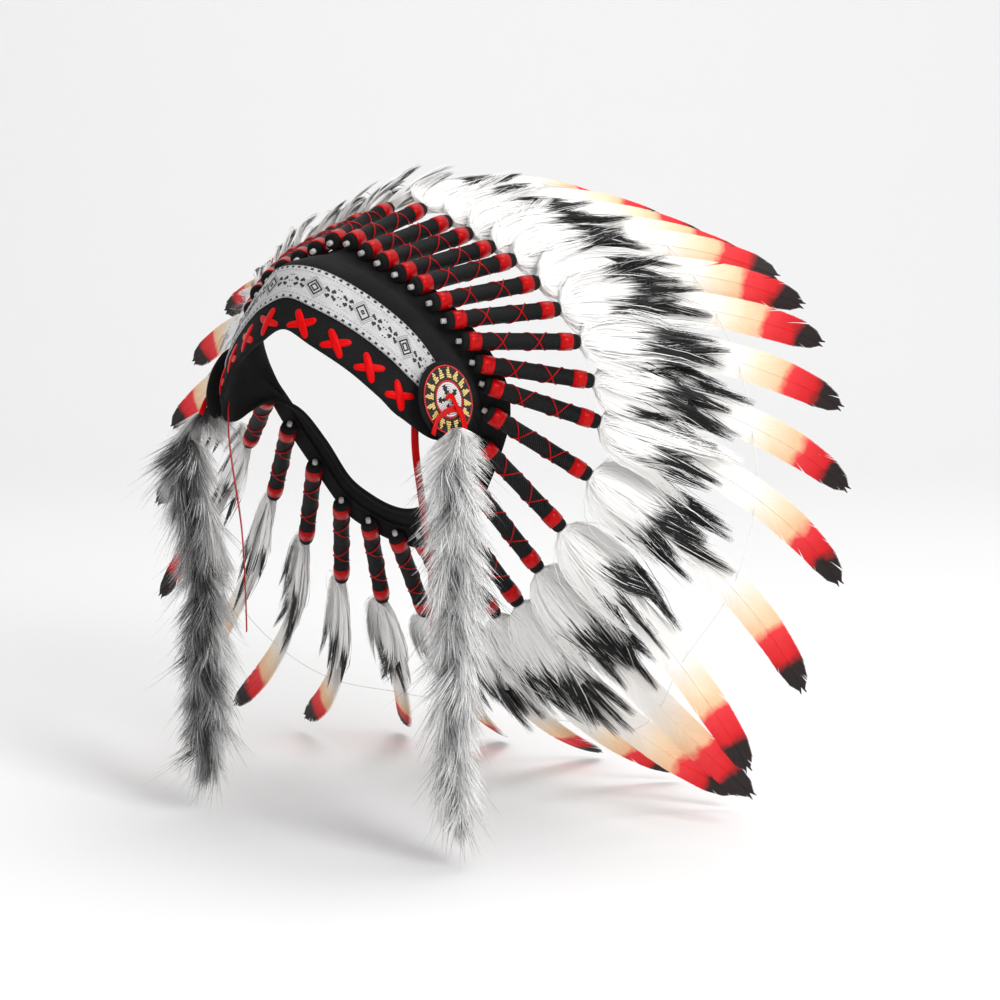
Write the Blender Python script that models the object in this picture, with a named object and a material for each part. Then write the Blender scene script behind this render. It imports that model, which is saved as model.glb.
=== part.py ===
"""Feathered headdress: a felt crown band with a woven ribbon, two beaded rosettes,
fur tails, hanging ribbons and a ring of bound feathers.

Metres, +Z up. The wearer faces -Y and the wearer's left is +X. The origin is the middle
of the head, halfway between the two rosettes.
"""
import math

import bpy
import numpy as np
from mathutils import Vector
from mathutils.bvhtree import BVHTree

# Head and crown
HEAD_HALF_WIDTH = 0.085
HEAD_HALF_LENGTH = 0.080
CROWN_RISE = 0.092
FELT = 0.0025
REAR_MARGIN = 0.017
SEAT_LEAD = 0.003
PANEL_BULGE = 0.002
RIBBON_LOW_SHARE = 0.46
FINE_STATIONS = 10.5

# Woven ribbon
RIBBON_THICKNESS = 0.0008
RIBBON_LAST_STATION = 8.0

# Feathers
WRAP_DIAMETER = 0.011
WRAP_LENGTH = 0.074
WRAP_START = 0.0015
WRAP_SIDES = 8
PEG_DIAMETER = 0.0035
PEG_LENGTH = 0.003
CAP_SLOPE = 0.0006
VANE_LENGTH = 0.178
VANE_WIDTH = 0.023
VANE_THICKNESS = 0.0016
BEND_POWER = 1.4
PLUME_LENGTH = 0.095
PLUME_THICKNESS = 0.005
PLUME_PITCH_SHARE = 0.42
PLUME_HALF_WIDTH = 0.017
OVERLAP = 0.006

# Rosettes
ROSETTE_DIAMETER = 0.046
ROSETTE_FELT = 0.002
ROSETTE_TURN = math.radians(-9)
ROSETTE_LIFT = math.radians(12)
BEADWORK_DIAMETER = 0.041
BEADWORK_HEIGHT = 0.0018
ROSETTE_OUT = 0.96
ROSETTE_BACK = -0.02
ROSETTE_SIDES = 26
SEAT_RINGS = 16
SEAT_SPOKES = 72

# Ribbons and tails
LACE_WIDTH = 0.004
LACE_THICKNESS = 0.0009
CHIN_RIBBON_WIDTH = 0.0045
CHIN_RIBBON_THICKNESS = 0.0008
CHIN_RIBBON_TURN = math.radians(-33)
FUR_LENGTH = 0.232
FUR_WIDTH = 0.042
FUR_THICKNESS = 0.020
FUR_LOCKS = 6
FUR_HANG = 0.36

GAP = 0.0003
SEAT_GAP = 0.0005

# Stations count feathers from the front's middle: the first feather is at half a station.
NAPE_STATION = 16

# Crown lines, one row for each station that shapes them. Edge and crown are x, y, z as
# shares of the head's half width, its half length and the crown's rise.
BAND_ROWS = (
    # station, edge x, y, z, crown x, y, z
    (0, 0.0, -0.65, 0.446, 0.0, -0.445, 0.832),
    (1.5, 0.224, -0.625, 0.348, 0.178, -0.415, 0.808),
    (3.5, 0.47, -0.537, 0.207, 0.407, -0.279, 0.687),
    (5.5, 0.659, -0.437, 0.049, 0.631, -0.164, 0.525),
    (7.5, 0.788, -0.32, -0.098, 0.79, -0.075, 0.358),
    (9.5, 0.918, 0.04, -0.26, 0.93, 0.14, 0.045),
    (10.5, 0.853, 0.35, -0.163, 0.882, 0.45, -0.103),
    (11.5, 0.735, 0.575, -0.217, 0.776, 0.631, -0.25),
    (12.5, 0.581, 0.704, -0.432, 0.619, 0.745, -0.496),
    (13.5, 0.424, 0.793, -0.686, 0.454, 0.8375, -0.751),
    (14.5, 0.264, 0.869, -0.815, 0.284, 0.92, -0.88),
    (16, 0.0, 0.919, -0.897, 0.0, 0.975, -0.962),
)

# Feathers of one side, from the front to the nape. Seat x, y, z are shares like the band's.
# The wrap and tip columns are headings in degrees: turn from straight back towards the
# wearer's left, and rise above level. Then come the vane's share of its length, and the
# degrees by which its face is rolled about the shaft.
FEATHER_ROWS = (
    # seat x, y, z, wrap turn, wrap rise, tip turn, tip rise, vane share, vane roll
    (0.072, 0.048, 0.958, 5, 15, 18, -22, 1.10, -15),
    (0.209, 0.034, 0.901, 12, 13.5, 38, -23.5, 1.03, -25),
    (0.348, 0.027, 0.84, 15.5, 12.5, 52, -25, 1.02, -30),
    (0.493, 0.032, 0.771, 19, 11.5, 60, -25.5, 1.02, -30),
    (0.622, 0.045, 0.696, 22.5, 11, 63, -25.5, 1.01, -25),
    (0.747, 0.084, 0.596, 27, 8, 65, -24, 0.98, -10),
    (0.836, 0.134, 0.484, 33, 4, 67, -24, 0.94, 5),
    (0.915, 0.21, 0.355, 39, -1.5, 72, -31.5, 0.93, 22),
    (0.967, 0.305, 0.215, 43, -9.5, 80, -40.5, 0.94, 35),
    (0.984, 0.409, 0.072, 47, -18.5, 90, -52, 0.98, 42),
    (0.947, 0.514, -0.11, 50, -32, 98, -59, 1.02, 44),
    (0.834, 0.62, -0.32, 49, -46.5, 96, -56, 1.03, 42),
    (0.67, 0.723, -0.585, 44, -51.5, 80, -38, 1.08, 36),
    (0.494, 0.821, -0.847, 35.5, -53, 60, -25, 1.08, 30),
    (0.307, 0.912, -0.982, 23, -53, 36, -21, 1.04, 20),
    (0.105, 0.972, -1.06, 8, -53, 12, -20, 1.02, 5),
)

# Vane half width along its length, as shares
VANE_ROWS = (
    # share of length, share of half width
    (0.00, 0.10),
    (0.16, 0.22),
    (0.34, 0.74),
    (0.52, 1.00),
    (0.76, 0.98),
    (0.91, 0.78),
    (1.00, 0.14),
)

# Plume locks: sideways place and length, as shares
LOCK_ROWS = (
    # sideways share, length share, width share
    (-0.70, 0.84, 0.26),
    (0.0, 1.0, 0.32),
    (0.70, 0.90, 0.26),
)

# A lock's size along its length, as shares
LOCK_SECTIONS = (
    # share of length, share of width
    (0.00, 0.45),
    (0.50, 1.00),
    (1.00, 0.08),
)

# Fur tail: down the tail, sideways, outwards and size, as shares
FUR_ROWS = (
    # share of length, back share of width, inner face out share, width share, thickness share
    (0.00, -0.06, -0.012, 0.40, 0.40),
    (0.05, -0.28, 0.01, 0.78, 0.70),
    (0.13, -0.36, 0.01, 0.98, 0.95),
    (0.28, -0.22, -0.06, 1.00, 1.00),
    (0.42, -0.12, -0.10, 1.00, 1.00),
    (0.60, -0.12, -0.12, 0.92, 0.96),
    (0.78, -0.14, -0.12, 0.82, 0.90),
    (0.90, -0.10, -0.08, 0.62, 0.80),
    (1.00, 0.02, 0.04, 0.10, 0.20),
)

# Lace over the rosette: forwards to back, up, and stand-off from the beads, in metres
LACE_POINTS = (
    (-0.019, -0.019, 0.0003),
    (-0.014, -0.011, 0.0006),
    (-0.006, -0.007, 0.0011),
    (0.003, -0.006, 0.0011),
    (0.007, -0.010, 0.0007),
    (0.008, -0.017, 0.0004),
    (0.007, -0.026, 0.0002),
    (0.009, -0.036, -0.0002),
)

# Route of the chin ribbon from the band's inner side, in metres
CHIN_RIBBON_POINTS = (
    (0.0694, -0.0141, -0.0100),
    (0.0689, -0.0153, -0.0165),
    (0.0691, -0.0144, -0.0320),
    (0.0695, -0.0100, -0.0530),
    (0.0697, -0.0052, -0.0720),
    (0.0700, -0.0012, -0.0900),
    (0.0703, 0.0014, -0.1100),
    (0.0704, 0.0030, -0.1320),
    (0.0704, 0.0040, -0.1560),
)

COLORS = {
    # name: colour, roughness
    "black_felt": ((0.018, 0.018, 0.018), 0.95),
    "woven_silver": ((0.62, 0.62, 0.62), 0.55),
    "glass_beads": ((0.55, 0.03, 0.03), 0.25),
    "red_satin": ((0.42, 0.008, 0.012), 0.40),
    "grey_fur": ((0.30, 0.30, 0.31), 0.90),
    "feather": ((0.85, 0.80, 0.72), 0.75),
}


def clear_scene():
    for old in list(bpy.data.objects):
        bpy.data.objects.remove(old, do_unlink=True)


def material(name):
    """One Principled material for each finish."""
    made = bpy.data.materials.get(name)
    if made is None:
        color, roughness = COLORS[name]
        made = bpy.data.materials.new(name)
        made.use_nodes = True
        shader = made.node_tree.nodes["Principled BSDF"]
        shader.inputs["Base Color"].default_value = (*color, 1)
        shader.inputs["Roughness"].default_value = roughness
        shader.inputs["Metallic"].default_value = 0.0
        made.diffuse_color = (*color, 1)
    return made


def unit(vector):
    return vector / np.linalg.norm(vector, axis=-1, keepdims=True)


def heading(turn, rise):
    """Unit vectors from a turn and a rise in degrees."""
    turn, rise = np.radians(turn), np.radians(rise)
    return np.stack([np.sin(turn) * np.cos(rise), np.cos(turn) * np.cos(rise), np.sin(rise)], -1)


def spline(stations, values, at):
    """Smooth curve through the values, with even slopes taken from the neighbours."""
    stations = np.asarray(stations, float)
    values = np.asarray(values, float)
    slopes = np.gradient(values, stations, axis=0)
    at = np.atleast_1d(np.asarray(at, float))
    left = np.clip(np.searchsorted(stations, at, side="right") - 1, 0, len(stations) - 2)
    step = (stations[left + 1] - stations[left])[:, None]
    share = (at[:, None] - stations[left][:, None]) / step
    start, end = values[left], values[left + 1]
    first = (1 + 2 * share) * (1 - share) ** 2
    last = share**2 * (3 - 2 * share)
    rise = share * (1 - share) ** 2 * step
    fall = share**2 * (share - 1) * step
    return first * start + last * end + rise * slopes[left] + fall * slopes[left + 1]


def mirrored(stations, values):
    """A half's rows with their mirror images, so that a curve runs on over both middles."""
    flip = np.array([-1.0, 1.0, 1.0])
    stations = np.array(stations, float)
    front = np.flatnonzero(stations > 0)[2::-1]
    nape = np.flatnonzero(stations < NAPE_STATION)[:-4:-1]
    places = [-stations[front], stations, 2 * NAPE_STATION - stations[nape]]
    return np.concatenate(places), np.concatenate([values[front] * flip, values, values[nape] * flip])


def new_object(name, points, faces, finish):
    mesh = bpy.data.meshes.new(name)
    mesh.from_pydata([tuple(map(float, point)) for point in points], [], faces)
    mesh.update()
    made = bpy.data.objects.new(name, mesh)
    bpy.context.scene.collection.objects.link(made)
    if finish:
        mesh.materials.append(material(finish))
    return made


def loft(sections):
    """Points and faces of a closed body through rings of equal count, capped at both ends."""
    rings, sides = sections.shape[:2]
    faces = [tuple(reversed(range(sides)))]
    for ring in range(rings - 1):
        for side in range(sides):
            after = (side + 1) % sides
            low = ring * sides
            high = low + sides
            faces.append((low + side, low + after, high + after))
            faces.append((low + side, high + after, high + side))
    faces.append(tuple(range((rings - 1) * sides, rings * sides)))
    return sections.reshape(-1, 3), faces


def tube_sections(centres, across, outward, half_widths, half_heights, sides):
    """Rings of an oval tube: across and outward span each section's plane."""
    angles = 2 * np.pi * (np.arange(sides) + 0.5) / sides
    wide = np.cos(angles)[None, :, None] * across[:, None, :] * half_widths[:, None, None]
    high = np.sin(angles)[None, :, None] * outward[:, None, :] * half_heights[:, None, None]
    return centres[:, None, :] + wide + high


def diamond_sections(centres, across, outward, half_widths, half_heights):
    """Rings of four points: two thin edges with a low ridge on each face."""
    wide = across * half_widths[:, None]
    high = outward * half_heights[:, None]
    return np.stack([centres + wide, centres + high, centres - wide, centres - high], 1)


def fused(name, bodies, finish):
    """Bodies that meet made into one by Booleans."""
    parts = []
    for number, (points, faces) in enumerate(bodies):
        parts.append(new_object(f"{name}_{number}", points, faces, finish))
    whole = parts[0]
    for part in parts[1:]:
        join = whole.modifiers.new("join", "BOOLEAN")
        join.operation = "UNION"
        join.solver = "EXACT"
        join.object = part
    bpy.context.view_layer.update()
    graph = bpy.context.evaluated_depsgraph_get()
    mesh = bpy.data.meshes.new_from_object(whole.evaluated_get(graph))
    mesh.name = name
    for part in parts:
        bpy.data.objects.remove(part, do_unlink=True)
    made = bpy.data.objects.new(name, mesh)
    bpy.context.scene.collection.objects.link(made)
    mesh.materials.clear()
    mesh.materials.append(material(finish))
    return made


def mirror_body(points, faces):
    flipped = points * np.array([-1.0, 1.0, 1.0])
    return flipped, [tuple(reversed(face)) for face in faces]


HEAD_SIZE = np.array([HEAD_HALF_WIDTH, HEAD_HALF_LENGTH, CROWN_RISE])
FEATHER_STATIONS = np.arange(len(FEATHER_ROWS)) + 0.5


class Crown:
    """The crown's lines, the feathers' seats and the vanes' paths, worked out once."""

    def __init__(self):
        rows = np.array(FEATHER_ROWS, float)
        self.rows = rows
        self.bases = rows[:, :3] * HEAD_SIZE
        self.directions = heading(rows[:, 3], rows[:, 4])
        places, ring = mirrored(FEATHER_STATIONS, self.bases)
        step = 0.01
        ahead = spline(places, ring, FEATHER_STATIONS + step)
        behind = spline(places, ring, FEATHER_STATIONS - step)
        self.tangents = unit(ahead - behind)
        self.normals = unit(np.cross(self.tangents, self.directions))
        lift = WRAP_DIAMETER / 2 * math.cos(math.pi / WRAP_SIDES) + SEAT_GAP
        self.seats = self.bases - self.normals * lift - self.directions * SEAT_LEAD
        self.paths = np.array([self.path(row) for row in range(len(rows))])

    def path(self, row, count=24):
        """Points of a vane's centreline from the wrap's end to the tip."""
        share = (np.arange(count) + 0.5) / count
        eased = share**BEND_POWER
        turn = self.rows[row, 3] + (self.rows[row, 5] - self.rows[row, 3]) * eased
        rise = self.rows[row, 4] + (self.rows[row, 6] - self.rows[row, 4]) * eased
        steps = heading(turn, rise) * self.rows[row, 7] * VANE_LENGTH / count
        start = self.bases[row] + self.directions[row] * (WRAP_START + WRAP_LENGTH)
        return np.vstack([start, start + np.cumsum(steps, 0)])

    def lines(self, stations):
        """The felt's outer face at each station: edge, ribbon low, crown, panel, seat, margin."""
        rows = np.array(BAND_ROWS, float)
        places, edge = mirrored(rows[:, 0], rows[:, 1:4] * HEAD_SIZE)
        places, crown = mirrored(rows[:, 0], rows[:, 4:7] * HEAD_SIZE)
        feather_places, seat = mirrored(FEATHER_STATIONS, self.seats)
        _, direction = mirrored(FEATHER_STATIONS, self.directions)
        edge = spline(places, edge, stations)
        crown = spline(places, crown, stations)
        seat = spline(feather_places, seat, stations)
        direction = unit(spline(feather_places, direction, stations))
        low = edge + (crown - edge) * RIBBON_LOW_SHARE
        low = low + unit(low * np.array([1, 1, 0.3])) * PANEL_BULGE
        panel = (crown + seat) / 2
        panel = panel + unit(panel) * PANEL_BULGE
        margin = seat + direction * (SEAT_LEAD + REAR_MARGIN)
        return np.stack([edge, low, crown, panel, seat, margin], 1)


def whole_grid(crown):
    """The outer face's points right round: the left half and its mirror image."""
    front = np.arange(0, FINE_STATIONS, 0.5)
    rear = np.arange(FINE_STATIONS, NAPE_STATION, 1.0)
    grid = crown.lines(np.concatenate([front, rear, [NAPE_STATION]]))
    right = grid[-2:0:-1] * np.array([-1.0, 1.0, 1.0])
    return np.concatenate([grid, right])


def grid_normals(grid):
    along = np.roll(grid, -1, 0) - np.roll(grid, 1, 0)
    over = np.gradient(grid, axis=1)
    return unit(np.cross(along, over))


def felt_band(crown):
    grid = whole_grid(crown)
    normals = grid_normals(grid)
    inner = grid - normals * FELT
    count, lines = grid.shape[:2]
    points = np.concatenate([grid, inner], 1).reshape(-1, 3)
    section = 2 * lines
    loop = list(range(lines)) + list(range(section - 1, lines - 1, -1))
    faces = []
    for station in range(count):
        after = (station + 1) % count
        for place, low in enumerate(loop):
            high = loop[(place + 1) % section]
            here = station * section
            there = after * section
            faces.append((here + low, there + low, there + high))
            faces.append((here + low, there + high, here + high))
    return new_object("felt_band", points, faces, "black_felt")


def woven_ribbon(crown):
    """A flat strip on the felt from one rosette over the forehead to the other."""
    grid = whole_grid(crown)
    normals = grid_normals(grid)
    reach = int(RIBBON_LAST_STATION / 0.5)
    order = list(range(-reach, reach + 1))
    outer = grid[order][:, 1:3]
    normal = normals[order][:, 1:3]
    step = unit(outer[:, 1] - outer[:, 0])[:, None] * np.array([1, -1])[None, :, None] * 0.0005
    bottom = outer + step + normal * GAP
    top = outer + step + normal * (GAP + RIBBON_THICKNESS)
    sections = np.stack([bottom[:, 0], bottom[:, 1], top[:, 1], top[:, 0]], 1)
    points, faces = loft(sections)
    return new_object("woven_ribbon", points, faces, "woven_silver")


def feather(crown, row, name, side):
    """One bound feather: the peg, the wrap, the plume's locks and the vane as one body."""
    base = crown.bases[row] + crown.directions[row] * WRAP_START
    direction = crown.directions[row]
    across = crown.tangents[row] - direction * (crown.tangents[row] @ direction)
    across = unit(across)
    outward = crown.normals[row]
    along = np.array([-PEG_LENGTH, -CAP_SLOPE, 0.0, WRAP_LENGTH])
    radii = np.array([PEG_DIAMETER, PEG_DIAMETER, WRAP_DIAMETER, WRAP_DIAMETER * 0.9]) / 2
    centres = base + along[:, None] * direction
    repeat = np.ones((4, 1))
    wrap = tube_sections(centres, repeat * across, repeat * outward, radii, radii, WRAP_SIDES)
    bodies = [loft(wrap)]
    path = crown.paths[row]
    bodies.append(loft(vane_sections(crown, row, path, direction)))
    pitch = plume_pitch(crown, row)
    for sideways, length, width in LOCK_ROWS:
        bodies.append(loft(lock_sections(crown, row, path, pitch, sideways, length, width)))
    if side < 0:
        bodies = [mirror_body(*body) for body in bodies]
    return fused(name, bodies, "feather")


def path_frame(crown, row, path):
    """Directions along a vane's path: forward, across its width and out of its face."""
    roll = math.radians(crown.rows[row, 8])
    forward = unit(np.gradient(path, axis=0))
    tangent = crown.tangents[row]
    across = unit(tangent - forward * (forward @ tangent)[:, None])
    outward = np.cross(across, forward)
    turned = across * math.cos(roll) + outward * math.sin(roll)
    return forward, turned, np.cross(turned, forward)


def vane_sections(crown, row, path, direction):
    rows = np.array(VANE_ROWS)
    places = rows[:, 0] * (len(path) - 1)
    _, across, outward = path_frame(crown, row, path)
    index = np.arange(len(path))
    centres = spline(index, path, places)
    across = unit(spline(index, across, places))
    outward = unit(spline(index, outward, places))
    centres[0] -= direction * OVERLAP
    widths = rows[:, 1] * VANE_WIDTH / 2
    heights = np.full(len(rows), VANE_THICKNESS / 2)
    heights[-1] *= 0.5
    return diamond_sections(centres, across, outward, widths, heights)


def plume_pitch(crown, row):
    """Half the room that a plume has beside its neighbours at each point of its path."""
    flip = np.array([-1.0, 1.0, 1.0])
    path = crown.paths[row]
    before = crown.paths[row - 1] if row else path * flip
    after = crown.paths[row + 1] if row + 1 < len(crown.paths) else path * flip
    near = []
    for other in (before, after):
        away = np.linalg.norm(path[:, None] - other[None], axis=2).min(1)
        near.append(away)
    return np.minimum(np.minimum(*near) * PLUME_PITCH_SHARE, PLUME_HALF_WIDTH)


def lock_sections(crown, row, path, pitch, sideways, length, width):
    rows = np.array(LOCK_SECTIONS)
    step = VANE_LENGTH * crown.rows[row, 7] / (len(path) - 1)
    places = rows[:, 0] * length * PLUME_LENGTH / step
    _, across, outward = path_frame(crown, row, path)
    index = np.arange(len(path))
    centres = spline(index, path, places)
    across = unit(spline(index, across, places))
    outward = unit(spline(index, outward, places))
    room = spline(index, pitch[:, None], places)[:, 0]
    spread = sideways * (0.35 + 0.65 * rows[:, 0])
    half_width = room * width * rows[:, 1]
    half_height = rows[:, 1] * PLUME_THICKNESS / 2
    centres = centres + across * (room * spread)[:, None]
    stand = VANE_THICKNESS / 2 + 2 * GAP + PLUME_THICKNESS / 2
    lift = np.array([WRAP_DIAMETER * 0.24, stand, stand])
    centres = centres + outward * lift[:, None]
    centres[0] -= crown.directions[row] * OVERLAP
    return diamond_sections(centres, across, outward, half_width, half_height)


def rosette_frame():
    """The left rosette's normal, its back direction and its up direction."""
    normal = np.array(
        [
            math.cos(ROSETTE_TURN) * math.cos(ROSETTE_LIFT),
            math.sin(ROSETTE_TURN) * math.cos(ROSETTE_LIFT),
            math.sin(ROSETTE_LIFT),
        ]
    )
    back = unit(np.cross(np.array([0.0, 0.0, 1.0]), normal))
    return normal, back, np.cross(normal, back)


def rosette_place(pieces):
    """The middle of the disc's back, a gap outside the highest point of what lies beneath it."""
    normal, back, up = rosette_frame()
    middle = np.array([ROSETTE_OUT * HEAD_HALF_WIDTH, ROSETTE_BACK * HEAD_HALF_LENGTH, 0.0])
    away = HEAD_HALF_WIDTH / 2
    highest = -away
    for piece in pieces:
        tree = BVHTree.FromObject(piece, bpy.context.evaluated_depsgraph_get())
        for radius in np.linspace(0.0, ROSETTE_DIAMETER / 2 + GAP, SEAT_RINGS):
            for angle in np.linspace(0.0, 2 * np.pi, SEAT_SPOKES, endpoint=False):
                spot = middle + radius * (back * math.cos(angle) + up * math.sin(angle))
                start = Vector(spot + normal * away)
                hit = tree.ray_cast(start, Vector(-normal), 2 * away)
                if hit[0] is not None:
                    highest = max(highest, away - hit[3])
    return middle + normal * (highest + GAP)


def disc_body(centre, normal, back, up, radius, heights, shrink, sides):
    """A round plate whose rings step outward from its back."""
    angles = 2 * np.pi * np.arange(sides) / sides
    rim = np.cos(angles)[:, None] * back + np.sin(angles)[:, None] * up
    rings = []
    for height, share in zip(heights, shrink):
        rings.append(centre + rim * radius * share + normal * height)
    return loft(np.array(rings))


def rosettes(place):
    normal, back, up = rosette_frame()
    disc = disc_body(place, normal, back, up, ROSETTE_DIAMETER / 2, (0, ROSETTE_FELT), (1, 1), ROSETTE_SIDES)
    bead_place = place + normal * (ROSETTE_FELT + GAP)
    heights = (0, BEADWORK_HEIGHT * 0.6, BEADWORK_HEIGHT)
    shrink = (1, 1, 0.95)
    radius = BEADWORK_DIAMETER / 2
    beads = disc_body(bead_place, normal, back, up, radius, heights, shrink, ROSETTE_SIDES)
    lace_base = bead_place + normal * (BEADWORK_HEIGHT + GAP)
    route = np.array(LACE_POINTS)
    centres = lace_base + route[:, :1] * back + route[:, 1:2] * up + route[:, 2:] * normal
    count = len(centres)
    forward = unit(np.gradient(centres, axis=0))
    across = unit(np.cross(np.tile(normal, (count, 1)), forward))
    outward = np.cross(forward, across)
    widths = np.full(count, LACE_WIDTH / 2)
    widths[-1] *= 0.3
    heights = np.full(count, LACE_THICKNESS / 2)
    lace = loft(strip_sections(centres, across, outward, widths, heights))
    for side, word in ((1, "left"), (-1, "right")):
        for name, body, finish in (
            ("rosette_disc", disc, "black_felt"),
            ("rosette_beadwork", beads, "glass_beads"),
            ("rosette_lace", lace, "red_satin"),
        ):
            points, faces = body if side > 0 else mirror_body(*body)
            new_object(f"{name}_{word}", points, faces, finish)


def strip_sections(centres, across, outward, half_widths, half_heights):
    """Rings of a flat strip with four corners."""
    wide = across * half_widths[:, None]
    high = outward * half_heights[:, None]
    corners = [centres - wide - high, centres + wide - high]
    corners += [centres + wide + high, centres - wide + high]
    return np.stack(corners, 1)


def fur_tails(place):
    """A tapering tail on each side: a flat core with pointed locks down both edges."""
    normal, _, up = rosette_frame()
    top = place + normal * (ROSETTE_FELT + BEADWORK_HEIGHT + 2 * GAP)
    top = top - up * ROSETTE_DIAMETER * FUR_HANG
    rows = np.array(FUR_ROWS)
    drop = np.array([0.0, 0.0, -1.0])
    out = np.array([1.0, 0.0, 0.0])
    rear = np.array([0.0, 1.0, 0.0])
    widths = rows[:, 3] * FUR_WIDTH * 0.72 / 2
    heights = rows[:, 4] * FUR_THICKNESS / 2
    centres = top + rows[:, :1] * drop * FUR_LENGTH + rows[:, 1:2] * rear * FUR_WIDTH
    centres = centres + out * (heights + GAP + rows[:, 2] * FUR_WIDTH)[:, None]
    count = len(rows)
    ones = np.ones((count, 1))
    core = loft(tube_sections(centres, ones * rear, ones * out, widths, heights, 6))
    bodies = [core]
    for lock in range(FUR_LOCKS):
        share = 0.05 + 0.86 * lock / FUR_LOCKS
        for edge in (-1, 1):
            start = spline(rows[:, 0], centres, [share + 0.02 * edge])[0]
            half = spline(rows[:, 0], widths[:, None], [share])[0, 0]
            thick = spline(rows[:, 0], heights[:, None], [share])[0, 0]
            root = start + rear * edge * half * 0.45
            knee = root + rear * edge * half * 0.62 + drop * FUR_LENGTH * 0.045
            point = knee + rear * edge * half * 0.22 + drop * FUR_LENGTH * 0.055
            middle = np.array([root, knee, point])
            lock_widths = np.array([half * 0.30, half * 0.34, half * 0.04])
            lock_heights = np.array([thick * 0.50, thick * 0.42, thick * 0.08])
            forward = unit(np.gradient(middle, axis=0))
            outward = np.tile(out, (3, 1))
            across = unit(np.cross(forward, outward))
            sections = diamond_sections(middle, across, outward, lock_widths, lock_heights)
            bodies.append(loft(sections[:, ::-1]))
    fused("fur_tail_left", bodies, "grey_fur")
    fused("fur_tail_right", [mirror_body(*body) for body in bodies], "grey_fur")


def chin_ribbons():
    """Flat ribbons that hang free from inside the band in front of the ears."""
    route = np.array(CHIN_RIBBON_POINTS)
    index = np.arange(len(route))
    centres = spline(index, route, np.linspace(0, len(route) - 1, 17))
    forward = unit(np.gradient(centres, axis=0))
    face = np.array([math.cos(CHIN_RIBBON_TURN), math.sin(CHIN_RIBBON_TURN), 0.0])
    across = unit(np.cross(np.tile(face, (len(centres), 1)), forward))
    outward = np.cross(forward, across)
    widths = np.full(len(centres), CHIN_RIBBON_WIDTH / 2)
    heights = np.full(len(centres), CHIN_RIBBON_THICKNESS / 2)
    points, faces = loft(strip_sections(centres, across, outward, widths, heights))
    new_object("chin_ribbon_left", points, faces, "red_satin")
    points, faces = mirror_body(points, faces)
    new_object("chin_ribbon_right", points, faces, "red_satin")


def feathers(crown):
    for row in range(len(FEATHER_ROWS)):
        feather(crown, row, f"feather_left_{row + 1:02d}", 1)
        feather(crown, row, f"feather_right_{row + 1:02d}", -1)


def main():
    clear_scene()
    crown = Crown()
    band = felt_band(crown)
    ribbon = woven_ribbon(crown)
    place = rosette_place((band, ribbon))
    rosettes(place)
    fur_tails(place)
    chin_ribbons()
    feathers(crown)


main()
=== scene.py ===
# %% [markdown]
# # A feathered headdress
#
# The plain solids of a worn headdress are already packed: a felt band, a woven ribbon, two
# rosettes, fur tails, hanging ribbons and thirty-two bound feathers. This lesson dresses them.
# Every piece is built at its own place in one shared frame, in metres: the wearer faces -Y,
# the wearer's left is +X, and the origin is the middle of the head between the rosettes.

# %% Load the model
import math

import bpy
import numpy as np
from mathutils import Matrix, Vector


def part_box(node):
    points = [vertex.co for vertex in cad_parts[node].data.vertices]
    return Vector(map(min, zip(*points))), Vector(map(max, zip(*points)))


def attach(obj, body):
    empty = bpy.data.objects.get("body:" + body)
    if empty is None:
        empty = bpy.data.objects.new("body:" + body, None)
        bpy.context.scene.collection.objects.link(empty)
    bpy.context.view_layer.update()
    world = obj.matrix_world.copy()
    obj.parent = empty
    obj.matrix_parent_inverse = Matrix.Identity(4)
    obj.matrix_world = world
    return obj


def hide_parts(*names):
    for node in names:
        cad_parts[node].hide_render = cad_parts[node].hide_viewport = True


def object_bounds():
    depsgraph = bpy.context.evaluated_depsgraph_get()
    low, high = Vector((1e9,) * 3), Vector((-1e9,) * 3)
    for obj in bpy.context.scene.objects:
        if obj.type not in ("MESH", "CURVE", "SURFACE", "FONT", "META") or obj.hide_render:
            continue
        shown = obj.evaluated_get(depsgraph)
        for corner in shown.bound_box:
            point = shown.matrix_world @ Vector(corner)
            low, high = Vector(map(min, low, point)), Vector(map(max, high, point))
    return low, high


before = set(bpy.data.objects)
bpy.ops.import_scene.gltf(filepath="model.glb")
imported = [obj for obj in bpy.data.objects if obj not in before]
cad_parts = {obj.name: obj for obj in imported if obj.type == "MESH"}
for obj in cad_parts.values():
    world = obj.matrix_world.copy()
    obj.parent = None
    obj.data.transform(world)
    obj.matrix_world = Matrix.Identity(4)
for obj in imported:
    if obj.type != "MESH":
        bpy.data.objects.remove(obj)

CAD_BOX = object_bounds()
MM = 0.001
print("solids in the model:", len(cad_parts))

# %% [markdown]
# ## Small tools
#
# Node trees read better when one call makes a node, sets it up and links its inputs. The same
# helper serves shading trees and geometry trees.

# %% Node helper
def node(tree, kind, inputs=None, **settings):
    """A node of this kind, with its settings, and with its inputs linked or set by name."""
    made = tree.nodes.new(kind)
    for key, value in settings.items():
        setattr(made, key, value)
    for key, value in (inputs or {}).items():
        if isinstance(value, bpy.types.NodeSocket):
            tree.links.new(value, made.inputs[key])
        else:
            made.inputs[key].default_value = value
    return made


def calc(tree, operation, *values, **settings):
    """The result of one Math node on numbers or on other nodes' results."""
    wanted = dict(enumerate(values))
    return node(tree, "ShaderNodeMath", wanted, operation=operation, **settings).outputs[0]


def unit(vectors):
    return vectors / np.linalg.norm(vectors, axis=-1, keepdims=True)


def smooth(value, low, high):
    """0 below low, 1 above high, and an easy slope between them."""
    share = np.clip((value - low) / (high - low), 0, 1)
    return share * share * (3 - 2 * share)


FLIP = np.array([-1.0, 1.0, 1.0])
SIDES = (("left", 1), ("right", -1))
print("tools ready")

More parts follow.
